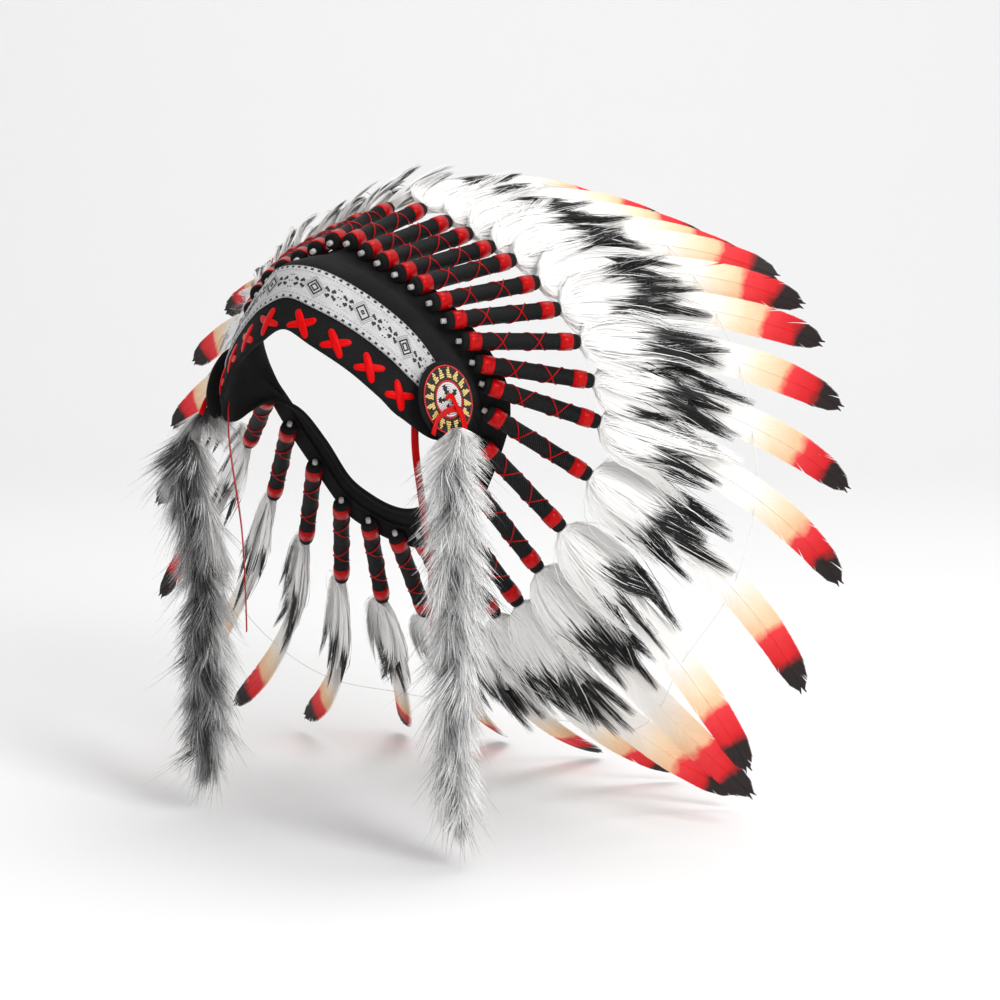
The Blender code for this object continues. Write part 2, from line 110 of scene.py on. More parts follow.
# %% [markdown]
# ## Meshes from grids
#
# Felt, ribbon and wraps are all grids of points. One function turns a stack of grids into a
# mesh quickly, by writing whole arrays, and keeps any named value of each point as an attribute.
# Left pieces are worked out first. A right piece is the mirror image, with its faces turned
# round so that they still point outwards.

# %% Grid meshes
def put_attributes(mesh, values):
    for name, value in values.items():
        value = np.asarray(value, float)
        kind = "FLOAT_VECTOR" if value.ndim > 1 else "FLOAT"
        slot = "vector" if value.ndim > 1 else "value"
        mesh.attributes.new(name, kind, "POINT").data.foreach_set(slot, value.ravel())


def new_piece(name, points, quads, finish, values=None, side=1, smooth_faces=True):
    """A mesh object at the origin from points and four-cornered faces."""
    points = np.asarray(points, float).reshape(-1, 3)
    quads = np.asarray(quads, int).reshape(-1, 4)
    if side < 0:
        points = points * FLIP
        quads = quads[:, ::-1]
    mesh = bpy.data.meshes.new(name)
    mesh.vertices.add(len(points))
    mesh.vertices.foreach_set("co", points.ravel())
    mesh.loops.add(quads.size)
    mesh.loops.foreach_set("vertex_index", quads.ravel())
    mesh.polygons.add(len(quads))
    mesh.polygons.foreach_set("loop_start", np.arange(0, quads.size, 4))
    mesh.polygons.foreach_set("use_smooth", np.full(len(quads), smooth_faces))
    put_attributes(mesh, values or {})
    mesh.update(calc_edges=True)
    mesh.validate()
    if finish:
        mesh.materials.append(finish)
    made = bpy.data.objects.new(name, mesh)
    bpy.context.scene.collection.objects.link(made)
    return made


def grid_quads(rows, columns, round_rows=False, round_columns=False):
    """Faces of a grid of rows by columns of points, closed round either way if asked."""
    row = np.arange(rows if round_rows else rows - 1)[:, None]
    column = np.arange(columns if round_columns else columns - 1)[None, :]
    next_row = (row + 1) % rows
    next_column = (column + 1) % columns
    corners = [row * columns + column, row * columns + next_column]
    corners += [next_row * columns + next_column, next_row * columns + column]
    return np.stack(corners, -1).reshape(-1, 4)


def shell(name, outer, inner, finish, values, side=1, closed=False):
    """A thin wall between two grids of points that match, with its rims closed."""
    section = np.concatenate([outer, inner[:, ::-1]], 1)
    rows, columns = section.shape[:2]
    quads = grid_quads(rows, columns, round_rows=closed, round_columns=True)
    if not closed:
        half = columns // 2
        for row, turn in ((0, 1), (rows - 1, -1)):
            start = row * columns
            for place in range(half - 1):
                cap = [place, columns - 1 - place, columns - 2 - place, place + 1]
                quads = np.vstack([quads, [start + corner for corner in cap[::turn]]])
    both = {}
    for key, value in values.items():
        both[key] = np.concatenate([value, value[:, ::-1]], 1).reshape(-1, *value.shape[2:])
    return new_piece(name, section, quads, finish, both, side)


print("grid tools ready")

# %% [markdown]
# ## Copies and strands with Geometry Nodes
#
# Beads, woven dots and knots are one small form repeated at many places. Hair, barbs and
# threads are strands that follow a path. Two trees make them all. The first puts a copy on
# each point and reads three named values there: the way that the copy faces, its upper side and
# its size. The second turns edges into curves and gives each a flat or a round section. Both
# end in real geometry with its finish set, because an export drops instances.

# %% Geometry trees
def open_tree(name, inputs):
    tree = bpy.data.node_groups.new(name, "GeometryNodeTree")
    tree.interface.new_socket("Geometry", in_out="INPUT", socket_type="NodeSocketGeometry")
    for label, kind in inputs:
        tree.interface.new_socket(label, in_out="INPUT", socket_type=kind)
    tree.interface.new_socket("Geometry", in_out="OUTPUT", socket_type="NodeSocketGeometry")
    return tree, node(tree, "NodeGroupInput").outputs


def close_tree(tree, geometry, finish):
    real = node(tree, "GeometryNodeRealizeInstances", {"Geometry": geometry})
    smoothed = node(tree, "GeometryNodeSetShadeSmooth", {"Geometry": real.outputs[0]})
    dressed = node(tree, "GeometryNodeSetMaterial", {"Geometry": smoothed.outputs[0], "Material": finish})
    node(tree, "NodeGroupOutput", {"Geometry": dressed.outputs[0]})
    return tree


def named(tree, name, kind="FLOAT_VECTOR"):
    return node(tree, "GeometryNodeInputNamedAttribute", {"Name": name}, data_type=kind).outputs[0]


def copies_tree():
    inputs = (("Copy", "NodeSocketObject"), ("Finish", "NodeSocketMaterial"))
    tree, given = open_tree("copies", inputs)
    copy = node(tree, "GeometryNodeObjectInfo", {"Object": given["Copy"]})
    axes = {"Primary Axis": named(tree, "forward"), "Secondary Axis": named(tree, "outward")}
    turn = node(tree, "FunctionNodeAxesToRotation", axes, primary_axis="X", secondary_axis="Z")
    wanted = {
        "Points": given["Geometry"],
        "Instance": copy.outputs["Geometry"],
        "Rotation": turn.outputs[0],
        "Scale": named(tree, "size"),
    }
    placed = node(tree, "GeometryNodeInstanceOnPoints", wanted)
    return close_tree(tree, placed.outputs[0], given["Finish"])


def strands_tree(sides):
    """Strands with a flat section for two sides, or a round one for more."""
    inputs = (("Thickness", "NodeSocketFloat"), ("Finish", "NodeSocketMaterial"))
    tree, given = open_tree(f"strands {sides}", inputs)
    curve = node(tree, "GeometryNodeMeshToCurve", {"Mesh": given["Geometry"]}).outputs[0]
    if sides == 2:
        across = {"Curve": curve, "Normal": named(tree, "across")}
        curve = node(tree, "GeometryNodeSetCurveNormal", across, mode="FREE").outputs[0]
        ends = {"Start": (-0.5, 0, 0), "End": (0.5, 0, 0)}
        profile = node(tree, "GeometryNodeCurvePrimitiveLine", ends, mode="POINTS").outputs[0]
    else:
        ring = {"Resolution": sides, "Radius": 0.5}
        profile = node(tree, "GeometryNodeCurvePrimitiveCircle", ring).outputs[0]
    scale = calc(tree, "MULTIPLY", named(tree, "width", "FLOAT"), given["Thickness"])
    swept = {"Curve": curve, "Profile Curve": profile, "Scale": scale}
    if sides > 2:
        swept["Fill Caps"] = True
    body = node(tree, "GeometryNodeCurveToMesh", swept)
    return close_tree(tree, body.outputs[0], given["Finish"])


COPIES = copies_tree()
FLAT_STRANDS = strands_tree(2)
ROUND_STRANDS = strands_tree(6)
print("trees:", [tree.name for tree in (COPIES, FLAT_STRANDS, ROUND_STRANDS)])

# %% Running a tree
def run_tree(name, mesh, tree, inputs):
    """The tree's result on this mesh as a plain mesh object."""
    carrier = bpy.data.objects.new(name + "_carrier", mesh)
    bpy.context.scene.collection.objects.link(carrier)
    modifier = carrier.modifiers.new("shape", "NODES")
    modifier.node_group = tree
    for item in tree.interface.items_tree:
        if item.in_out == "INPUT" and item.name in inputs:
            modifier[item.identifier] = inputs[item.name]
    graph = bpy.context.evaluated_depsgraph_get()
    result = bpy.data.meshes.new_from_object(carrier.evaluated_get(graph))
    result.name = name
    bpy.data.objects.remove(carrier, do_unlink=True)
    bpy.data.meshes.remove(mesh)
    made = bpy.data.objects.new(name, result)
    bpy.context.scene.collection.objects.link(made)
    return made


def copies(name, copy, places, forward, outward, size, finish, values=None, side=1):
    """A copy of a small object at each place, facing forward with its top outward."""
    flip = FLIP if side < 0 else np.ones(3)
    mesh = bpy.data.meshes.new(name + "_points")
    mesh.vertices.add(len(places))
    mesh.vertices.foreach_set("co", (places * flip).ravel())
    size = np.broadcast_to(size, (len(places), 3))
    put_attributes(mesh, {"forward": forward * flip, "outward": outward * flip, "size": size})
    put_attributes(mesh, values or {})
    return run_tree(name, mesh, COPIES, {"Copy": copy, "Finish": finish})


def strands(name, paths, widths, across, finish, values=None, side=1, tree=None):
    """Strands along paths of equal count: an array of strand by point by x, y, z."""
    flip = FLIP if side < 0 else np.ones(3)
    count, steps = paths.shape[:2]
    mesh = bpy.data.meshes.new(name + "_edges")
    mesh.vertices.add(count * steps)
    mesh.vertices.foreach_set("co", (paths * flip).ravel())
    first = (np.arange(count)[:, None] * steps + np.arange(steps - 1)).ravel()
    mesh.edges.add(len(first))
    mesh.edges.foreach_set("vertices", np.stack([first, first + 1], 1).ravel())
    flat = {"width": np.broadcast_to(widths, (count, steps)).ravel()}
    flat["across"] = (np.broadcast_to(across, paths.shape) * flip).reshape(-1, 3)
    for key, value in (values or {}).items():
        flat[key] = np.broadcast_to(value, (count, steps)).ravel()
    put_attributes(mesh, flat)
    inputs = {"Thickness": 1.0, "Finish": finish}
    return run_tree(name, mesh, tree or FLAT_STRANDS, inputs)


print("ready to grow strands")

# %% [markdown]
# ## The crown's lines
#
# The band is a closed ring of felt. A few stations shape it, counted in feathers from the
# middle of the front. At each the table gives its lower edge and its crown line as shares of
# the head's size, and the second table gives the feathers: where each is seated, how its wrap
# points, how its tip points, how long its vane is and how it is rolled about its shaft. Smooth
# curves run through both tables, the same ones as the solids follow, so that every stitch and
# hair lands on its felt or quill.

# %% Tables
HEAD_SIZE = np.array([0.085, 0.080, 0.092])
FELT = 2.5 * MM
GAP = 0.3 * MM
SEAT_GAP = 0.5 * MM
SEAT_LEAD = 3 * MM
REAR_MARGIN = 17 * MM
PANEL_BULGE = 2 * MM
RIBBON_LOW_SHARE = 0.46
NAPE_STATION = 16
WRAP_DIAMETER = 11 * MM
WRAP_LENGTH = 74 * MM
WRAP_START = 1.5 * MM
WRAP_SIDES = 8
VANE_LENGTH = 178 * MM
BEND_POWER = 1.4

BAND_ROWS = np.array([
    # station, edge x, y, z, crown x, y, z
    (0, 0.0, -0.65, 0.446, 0.0, -0.445, 0.832),
    (1.5, 0.224, -0.625, 0.348, 0.178, -0.415, 0.808),
    (3.5, 0.47, -0.537, 0.207, 0.407, -0.279, 0.687),
    (5.5, 0.659, -0.437, 0.049, 0.631, -0.164, 0.525),
    (7.5, 0.788, -0.32, -0.098, 0.79, -0.075, 0.358),
    (9.5, 0.918, 0.04, -0.26, 0.93, 0.14, 0.045),
    (10.5, 0.853, 0.35, -0.163, 0.882, 0.45, -0.103),
    (11.5, 0.735, 0.575, -0.217, 0.776, 0.631, -0.25),
    (12.5, 0.581, 0.704, -0.432, 0.619, 0.745, -0.496),
    (13.5, 0.424, 0.793, -0.686, 0.454, 0.8375, -0.751),
    (14.5, 0.264, 0.869, -0.815, 0.284, 0.92, -0.88),
    (16, 0.0, 0.919, -0.897, 0.0, 0.975, -0.962),
])

FEATHER_ROWS = np.array([
    # seat x, y, z, wrap turn, wrap rise, tip turn, tip rise, vane share, vane roll
    (0.072, 0.048, 0.958, 5, 15, 18, -22, 1.10, -15),
    (0.209, 0.034, 0.901, 12, 13.5, 38, -23.5, 1.03, -25),
    (0.348, 0.027, 0.84, 15.5, 12.5, 52, -25, 1.02, -30),
    (0.493, 0.032, 0.771, 19, 11.5, 60, -25.5, 1.02, -30),
    (0.622, 0.045, 0.696, 22.5, 11, 63, -25.5, 1.01, -25),
    (0.747, 0.084, 0.596, 27, 8, 65, -24, 0.98, -10),
    (0.836, 0.134, 0.484, 33, 4, 67, -24, 0.94, 5),
    (0.915, 0.21, 0.355, 39, -1.5, 72, -31.5, 0.93, 22),
    (0.967, 0.305, 0.215, 43, -9.5, 80, -40.5, 0.94, 35),
    (0.984, 0.409, 0.072, 47, -18.5, 90, -52, 0.98, 42),
    (0.947, 0.514, -0.11, 50, -32, 98, -59, 1.02, 44),
    (0.834, 0.62, -0.32, 49, -46.5, 96, -56, 1.03, 42),
    (0.67, 0.723, -0.585, 44, -51.5, 80, -38, 1.08, 36),
    (0.494, 0.821, -0.847, 35.5, -53, 60, -25, 1.08, 30),
    (0.307, 0.912, -0.982, 23, -53, 36, -21, 1.04, 20),
    (0.105, 0.972, -1.06, 8, -53, 12, -20, 1.02, 5),
])
print("feathers a side:", len(FEATHER_ROWS))

# %% Curves through the tables
def heading(turn, rise):
    turn, rise = np.radians(turn), np.radians(rise)
    return np.stack([np.sin(turn) * np.cos(rise), np.cos(turn) * np.cos(rise), np.sin(rise)], -1)


def spline(stations, values, at):
    """Smooth curve through the values, with even slopes taken from the neighbours."""
    slopes = np.gradient(values, stations, axis=0)
    at = np.atleast_1d(np.asarray(at, float))
    left = np.clip(np.searchsorted(stations, at, side="right") - 1, 0, len(stations) - 2)
    shape = (-1,) + (1,) * (np.ndim(values) - 1)
    step = (stations[left + 1] - stations[left]).reshape(shape)
    share = (at - stations[left]).reshape(shape) / step
    first = (1 + 2 * share) * (1 - share) ** 2 * values[left]
    last = share**2 * (3 - 2 * share) * values[left + 1]
    rise = share * (1 - share) ** 2 * step * slopes[left]
    return first + last + rise + share**2 * (share - 1) * step * slopes[left + 1]


def mirrored(stations, values):
    """A half's rows with their mirror images, so that a curve runs on over both middles."""
    front = np.flatnonzero(stations > 0)[2::-1]
    nape = np.flatnonzero(stations < NAPE_STATION)[:-4:-1]
    places = [-stations[front], stations, 2 * NAPE_STATION - stations[nape]]
    return np.concatenate(places), np.concatenate([values[front] * FLIP, values, values[nape] * FLIP])


FEATHER_STATIONS = np.arange(len(FEATHER_ROWS)) + 0.5
BASES = FEATHER_ROWS[:, :3] * HEAD_SIZE
DIRECTIONS = heading(FEATHER_ROWS[:, 3], FEATHER_ROWS[:, 4])
RING = mirrored(FEATHER_STATIONS, BASES)
STEP = 0.01
TANGENTS = unit(spline(*RING, FEATHER_STATIONS + STEP) - spline(*RING, FEATHER_STATIONS - STEP))
OUTWARDS = unit(np.cross(TANGENTS, DIRECTIONS))
WRAP_LIFT = WRAP_DIAMETER / 2 * math.cos(math.pi / WRAP_SIDES) + SEAT_GAP
SEATS = BASES - OUTWARDS * WRAP_LIFT - DIRECTIONS * SEAT_LEAD
print("first wrap starts at", BASES[0].round(4))

# %% The band's surface
EDGE = mirrored(BAND_ROWS[:, 0], BAND_ROWS[:, 1:4] * HEAD_SIZE)
CROWN = mirrored(BAND_ROWS[:, 0], BAND_ROWS[:, 4:7] * HEAD_SIZE)
SEAT = mirrored(FEATHER_STATIONS, SEATS)
POINTING = mirrored(FEATHER_STATIONS, DIRECTIONS)


def band_lines(stations):
    """The felt's outer face at each station: edge, ribbon low, crown, panel, seat, margin."""
    edge, crown, seat = spline(*EDGE, stations), spline(*CROWN, stations), spline(*SEAT, stations)
    direction = unit(spline(*POINTING, stations))
    low = edge + (crown - edge) * RIBBON_LOW_SHARE
    low = low + unit(low * np.array([1, 1, 0.3])) * PANEL_BULGE
    panel = (crown + seat) / 2
    panel = panel + unit(panel) * PANEL_BULGE
    margin = seat + direction * (SEAT_LEAD + REAR_MARGIN)
    return np.stack([edge, low, crown, panel, seat, margin], 1)


def band_points(stations, over):
    """Points of the felt's face: over runs from 0 at the edge to 5 at the margin's rim."""
    lines = band_lines(stations)
    slopes = np.gradient(lines, axis=1)
    left = np.clip(np.floor(over).astype(int), 0, 4)
    share = (over - left)[:, None]
    pick = np.arange(len(lines))
    low, high = lines[pick, left], lines[pick, left + 1]
    swing = slopes[pick, left] * (share - 1) + slopes[pick, left + 1] * share
    curved = (1 + 2 * share) * (1 - share) ** 2 * low + share**2 * (3 - 2 * share) * high
    return curved + share * (share - 1) * swing


def band_frame(stations, over):
    """Points with the directions along the band, up over it and out of its face."""
    stations, over = np.broadcast_arrays(np.asarray(stations, float), np.asarray(over, float))
    shape = stations.shape
    stations, over = stations.ravel(), over.ravel()
    side = np.where(stations < 0, -1.0, 1.0)[:, None]
    flip = np.where(side < 0, FLIP, 1.0)
    place = band_points(abs(stations), over)
    along = unit(band_points(abs(stations) + STEP, over) - band_points(abs(stations) - STEP, over))
    up = band_points(abs(stations), np.minimum(over + STEP, 5)) - band_points(
        abs(stations), np.maximum(over - STEP, 0)
    )
    out = unit(np.cross(along, up))
    up = np.cross(out, along)
    found = (place * flip, along * flip * side, up * flip, out * flip)
    return tuple(part.reshape(*shape, 3) for part in found)


RULE = np.linspace(0, NAPE_STATION, 321)
RIBBON_LINE = band_points(RULE, np.full(len(RULE), 1.5))
LENGTHS = np.concatenate([[0], np.cumsum(np.linalg.norm(np.diff(RIBBON_LINE, axis=0), axis=1))])


def station_at(length):
    """The station at a length along the ribbon from the middle of the front, in metres."""
    return np.sign(length) * np.interp(np.abs(length), LENGTHS, RULE)


print("half the band's length, mm:", round(LENGTHS[-1] / MM))

# %% [markdown]
# ## Finishes
#
# Each finish is a Principled shader with its own small pattern: fuzz for felt, fine streaks
# for satin, ribs with painted shade in their grooves for wound thread, a weave for the ribbon.
# Patterns that follow a thread read a named value kept on the points, in millimetres across
# and along the thread.

# %% Finish helper
def new_finish(name, color, roughness, **sockets):
    made = bpy.data.materials.new(name)
    made.use_nodes = True
    shader = made.node_tree.nodes["Principled BSDF"]
    shader.inputs["Base Color"].default_value = (*color, 1)
    shader.inputs["Roughness"].default_value = roughness
    for key, value in sockets.items():
        shader.inputs[key.replace("_", " ")].default_value = value
    return made, made.node_tree, shader


def blend_colors(tree, share, low, high):
    """A colour between two, by a share from another node."""
    ends = {"Factor": share}
    for place, color in ((6, low), (7, high)):
        ends[place] = color if isinstance(color, bpy.types.NodeSocket) else (*color, 1)
    return node(tree, "ShaderNodeMix", ends, data_type="RGBA").outputs[2]


def relief(tree, shader, height, distance, strength=1.0):
    wanted = {"Height": height, "Distance": distance, "Strength": strength}
    bump = node(tree, "ShaderNodeBump", wanted)
    tree.links.new(bump.outputs[0], shader.inputs["Normal"])


def noise(tree, place, scale, detail):
    wanted = {"Vector": place, "Scale": scale, "Detail": detail}
    return node(tree, "ShaderNodeTexNoise", wanted).outputs[0]


def still_noise(tree, scale, detail):
    """Noise in the object's own space, where scale counts its changes in a metre."""
    return noise(tree, node(tree, "ShaderNodeTexCoord").outputs["Object"], scale, detail)


def stretched_noise(tree, scale, detail=2.0):
    """Noise drawn out along the thread that the piece's own values describe."""
    thread = node(tree, "ShaderNodeAttribute", attribute_name="thread").outputs["Vector"]
    wide = node(tree, "ShaderNodeMapping", {"Vector": thread, "Scale": scale}).outputs[0]
    return noise(tree, wide, 1.0, detail)


def stronger(tree, value, gain):
    """The same value with its differences from a half made larger."""
    return calc(tree, "MULTIPLY_ADD", value, gain, 0.5 - 0.5 * gain, use_clamp=True)


def value_of(tree, name):
    return node(tree, "ShaderNodeAttribute", attribute_name=name).outputs["Fac"]


print("finish helpers ready")

# %% Felt and satin
def felt_finish():
    nap = {"Sheen_Weight": 0.02, "Sheen_Roughness": 0.5, "Specular_IOR_Level": 0.15}
    made, tree, shader = new_finish("black_felt", (0.01, 0.01, 0.01), 0.95, **nap)
    fuzz = still_noise(tree, 1500.0, 3.0)
    both = calc(tree, "MULTIPLY", fuzz, still_noise(tree, 45.0, 2.0))
    color = blend_colors(tree, both, (0.003, 0.003, 0.003), (0.026, 0.025, 0.026))
    tree.links.new(color, shader.inputs["Base Color"])
    relief(tree, shader, fuzz, 0.5 * MM, 0.6)
    return made


def satin_finish(name, dark, bright, roughness, shine):
    """Red satin: its gloss is red too, because the light passes through the dyed threads."""
    gloss = {"Specular_IOR_Level": shine, "Specular_Tint": (1.0, 0.12, 0.12, 1.0)}
    made, tree, shader = new_finish(name, bright, roughness, **gloss)
    streak = stronger(tree, stretched_noise(tree, (1.9, 0.10, 1.0)), 2.0)
    color = blend_colors(tree, streak, dark, bright)
    tree.links.new(color, shader.inputs["Base Color"])
    relief(tree, shader, streak, 0.12 * MM, 0.7)
    return made


BLACK_FELT = felt_finish()
RED_SATIN = satin_finish("red_satin", (0.16, 0.0, 0.001), (0.62, 0.002, 0.003), 0.31, 0.80)
RED_STITCH = satin_finish("red_stitch", (0.34, 0.001, 0.002), (0.80, 0.003, 0.004), 0.38, 0.45)
print("felt and satin:", BLACK_FELT.name, RED_SATIN.name, RED_STITCH.name)

# %% Thread, quill and white yarn
RIB_PITCH = 1.5  # millimetres, as the thread's own values are
RIB_SLANT = 0.75


def thread_finish():
    """Black thread wound close: a row of fine ribs, a little slanted, with painted shade in the grooves
    between them.
    """
    made, tree, shader = new_finish("black_thread", (0.018, 0.018, 0.02), 0.55, Specular_IOR_Level=0.18)
    thread = node(tree, "ShaderNodeAttribute", attribute_name="thread").outputs["Vector"]
    along, around, _ = node(tree, "ShaderNodeSeparateXYZ", {0: thread}).outputs
    slanted = calc(tree, "MULTIPLY_ADD", around, RIB_SLANT, along)
    rib = calc(tree, "SINE", calc(tree, "MULTIPLY", slanted, 2 * math.pi / RIB_PITCH))
    share = calc(tree, "MULTIPLY_ADD", rib, 0.5, 0.5)
    # Painted shade: the colour darkens in the rib troughs, the grooves between the windings.
    color = blend_colors(tree, share, (0.0, 0.0, 0.0), (0.015, 0.015, 0.016))
    tree.links.new(color, shader.inputs["Base Color"])
    relief(tree, shader, share, 0.4 * MM, 1.0)
    return made


def quill_finish():
    made, tree, shader = new_finish("white_quill", (0.75, 0.73, 0.70), 0.3)
    color = blend_colors(tree, still_noise(tree, 320.0, 2.0), (0.16, 0.14, 0.13), (0.72, 0.70, 0.68))
    tree.links.new(color, shader.inputs["Base Color"])
    return made


BLACK_THREAD = thread_finish()
WHITE_QUILL = quill_finish()
WHITE_YARN, _, _ = new_finish("white_yarn", (0.82, 0.82, 0.80), 0.6)
print("thread and quill:", BLACK_THREAD.name, WHITE_QUILL.name)

# %% Hair, barbs and fur
def hair_finish(name, light, dark, roughness, shade, edge=1.0, sheen=0.0):
    """Hair whose darkness is kept along each strand, with a slight difference between hairs."""
    gloss = {"Sheen_Weight": sheen, "Specular_IOR_Level": 0.2}
    made, tree, shader = new_finish(name, light, roughness, **gloss)
    color = blend_colors(tree, stronger(tree, value_of(tree, "tone"), edge), light, dark)
    dim = calc(tree, "MULTIPLY", value_of(tree, "change"), shade)
    color = blend_colors(tree, dim, color, tuple(part * 0.35 for part in light))
    tree.links.new(color, shader.inputs["Base Color"])
    return made


DYE_WANDER = 0.07
DYE_STOPS = (
    # share along the vane, red, green, blue
    (0.62, 0.93, 0.91, 0.88),
    (0.73, 0.95, 0.76, 0.54),
    (0.805, 0.94, 0.58, 0.34),
    (0.835, 0.86, 0.040, 0.050),
    (0.920, 0.72, 0.010, 0.016),
    (0.950, 0.018, 0.012, 0.012),
)


def vane_finish():
    """White barbs dyed cream, red and black towards the tip, with uneven edges to the dye."""
    made, tree, shader = new_finish("vane", (0.85, 0.83, 0.80), 0.6, Specular_IOR_Level=0.25)
    wander = still_noise(tree, 90.0, 3.0)
    shift = calc(tree, "MULTIPLY_ADD", wander, DYE_WANDER, value_of(tree, "along"))
    ramp = node(tree, "ShaderNodeValToRGB", {"Fac": shift})
    for _ in DYE_STOPS[2:]:
        ramp.color_ramp.elements.new(0.5)
    for element, (share, *color) in zip(ramp.color_ramp.elements, DYE_STOPS):
        element.position = share
        element.color = (*color, 1)
    dim = calc(tree, "MULTIPLY", value_of(tree, "change"), 0.07)
    color = blend_colors(tree, dim, ramp.outputs[0], (0.10, 0.08, 0.07))
    tree.links.new(color, shader.inputs["Base Color"])
    return made


PLUME_HAIR = hair_finish("plume_hair", (0.95, 0.94, 0.925), (0.004, 0.004, 0.004), 0.5, 0.08, 3.0, 0.06)
FUR = hair_finish("grey_fur", (0.98, 0.975, 0.97), (0.016, 0.016, 0.018), 0.75, 0.10)
VANE = vane_finish()
print("hair and barbs:", PLUME_HAIR.name, FUR.name, VANE.name)

# %% [markdown]
# ## The felt band
#
# Real bands are cut from thick wool felt and sewn to a ring that sits on the brow, dips to the
# nape and carries the quills. The solid's wall is right but faceted, so the same surface is
# drawn here with many more stations and a curve across each one.

# %% Felt band
BAND_STATIONS = np.linspace(0, NAPE_STATION, 129)
BAND_OVER = np.linspace(0, 5, 31)


def felt_band():
    stations, over = np.meshgrid(BAND_STATIONS, BAND_OVER, indexing="ij")
    place, _, _, out = band_frame(stations, over)
    # The middles have no sideways lean, so the two halves meet cleanly.
    for middle in (0, -1):
        out[middle, :, 0] = 0
        place[middle, :, 0] = 0
    out = unit(out)
    place = np.concatenate([place, place[-2:0:-1] * FLIP])
    out = np.concatenate([out, out[-2:0:-1] * FLIP])
    return shell("felt_band_soft", place, place - out * FELT, BLACK_FELT, {}, closed=True)


band = felt_band()
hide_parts("felt_band")
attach(band, "root")
print("felt band faces:", len(band.data.polygons))

# %% [markdown]
# ## The woven ribbon
#
# A silver jacquard ribbon crosses the forehead. Its ground is a strip that lies on the felt.
# The dark figures of a jacquard are short floats of black yarn on the face, so they are made
# as that: a small raised cell for each, placed by the tree that makes copies. Diamonds follow a
# rule, a small chart gives the wing of a butterfly, and both repeat along the ribbon.

# %% Ribbon ground
RIBBON_HALF = 118 * MM
RIBBON_WIDTH = 28 * MM
RIBBON_INSET = 0.02
RIBBON_THICKNESS = 0.8 * MM


def weave_finish():
    made, tree, shader = new_finish("woven_silver", (0.70, 0.70, 0.70), 0.45)
    ground = stretched_noise(tree, (2.4, 2.4, 1.0), 3.0)
    lines = stretched_noise(tree, (4.5, 0.12, 1.0), 1.0)
    both = calc(tree, "MULTIPLY", ground, lines)
    more = calc(tree, "MULTIPLY", both, 2.0)
    color = blend_colors(tree, more, (0.17, 0.17, 0.18), (0.77, 0.77, 0.77))
    tree.links.new(color, shader.inputs["Base Color"])
    relief(tree, shader, both, 0.3 * MM, 0.8)
    return made


def ribbon_ground():
    length = np.linspace(-RIBBON_HALF, RIBBON_HALF, 161)
    over = np.linspace(1 + RIBBON_INSET, 2 - RIBBON_INSET, 13)
    length, over = np.meshgrid(length, over, indexing="ij")
    place, _, _, out = band_frame(station_at(length), over)
    thread = np.stack([(over - 1) * RIBBON_WIDTH / MM, length / MM, 0 * length], -1)
    top = place + out * (GAP + RIBBON_THICKNESS)
    made = shell("woven_ribbon_cloth", top, place + out * GAP, WOVEN_SILVER, {"thread": thread})
    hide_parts("woven_ribbon")
    return made


WOVEN_SILVER = weave_finish()
ribbon = ribbon_ground()
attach(ribbon, "root")
print("ribbon length, mm:", 2 * RIBBON_HALF / MM)

# %% Ribbon chart
REPEAT = 31.6 * MM
CELL = 0.68 * MM
DOT_PITCH = 4.7 * MM
DOT_ROW = 11.6 * MM
DASH_PITCH = 2.3 * MM
DASH_ROW = 8.9 * MM
SELVEDGE_ROW = 13.2 * MM
DIAMOND = 4.5 * MM
SMALL_DIAMOND = 2.3 * MM
SPOTS_ALONG = 0.9 * MM
SPOTS_ACROSS = 4.6 * MM
ZIGZAG = 7.2 * MM
ZIGZAG_INSIDE = 0.83
ZIGZAG_PITCH = 0.9 * MM
BUTTERFLY = 10.0 * MM
WING = (
    # one wing of the butterfly from its middle outwards: a comma of yarn
    ".....",
    ".##..",
    ".####",
    "..###",
    "...#.",
)


def diamond_line(radius, pitch=0.55 * MM):
    """Places along a diamond's outline about the middle of a repeat."""
    count = max(2, round(radius * 2**0.5 / pitch))
    share = np.arange(count) / count
    rim = np.stack([share, 1 - share], 1) * radius
    turns = [np.array([(1, 0), (0, 1)]), np.array([(0, 1), (-1, 0)])]
    turns += [-turn for turn in turns]
    return np.concatenate([rim @ turn for turn in turns])


def butterfly():
    cells = []
    for row, line in enumerate(WING):
        for column, mark in enumerate(line):
            if mark == "#":
                for long_turn in (-1, 1):
                    for high_turn in (-1, 1):
                        long = long_turn * (column + 0.5) * CELL
                        cells.append((long, high_turn * (row + 0.5) * CELL))
    return np.array(cells)


def repeated(cells, middles):
    """The same cells about each of these lengths, kept where the ribbon is."""
    found = np.concatenate([cells + [middle, 0] for middle in middles])
    return found[np.abs(found[:, 0]) < RIBBON_HALF - CELL]


REPEATS = (np.arange(-4, 4) + 0.5) * REPEAT
print("butterfly cells:", len(butterfly()), "diamond cells:", len(diamond_line(DIAMOND)))

# %% Ribbon figures by size
def even_row(pitch, height):
    places = np.arange(pitch / 2, RIBBON_HALF - CELL, pitch)
    places = np.concatenate([-places, places])
    rows = [np.stack([places, np.full(len(places), turn * height)], 1) for turn in (-1, 1)]
    return np.concatenate(rows)


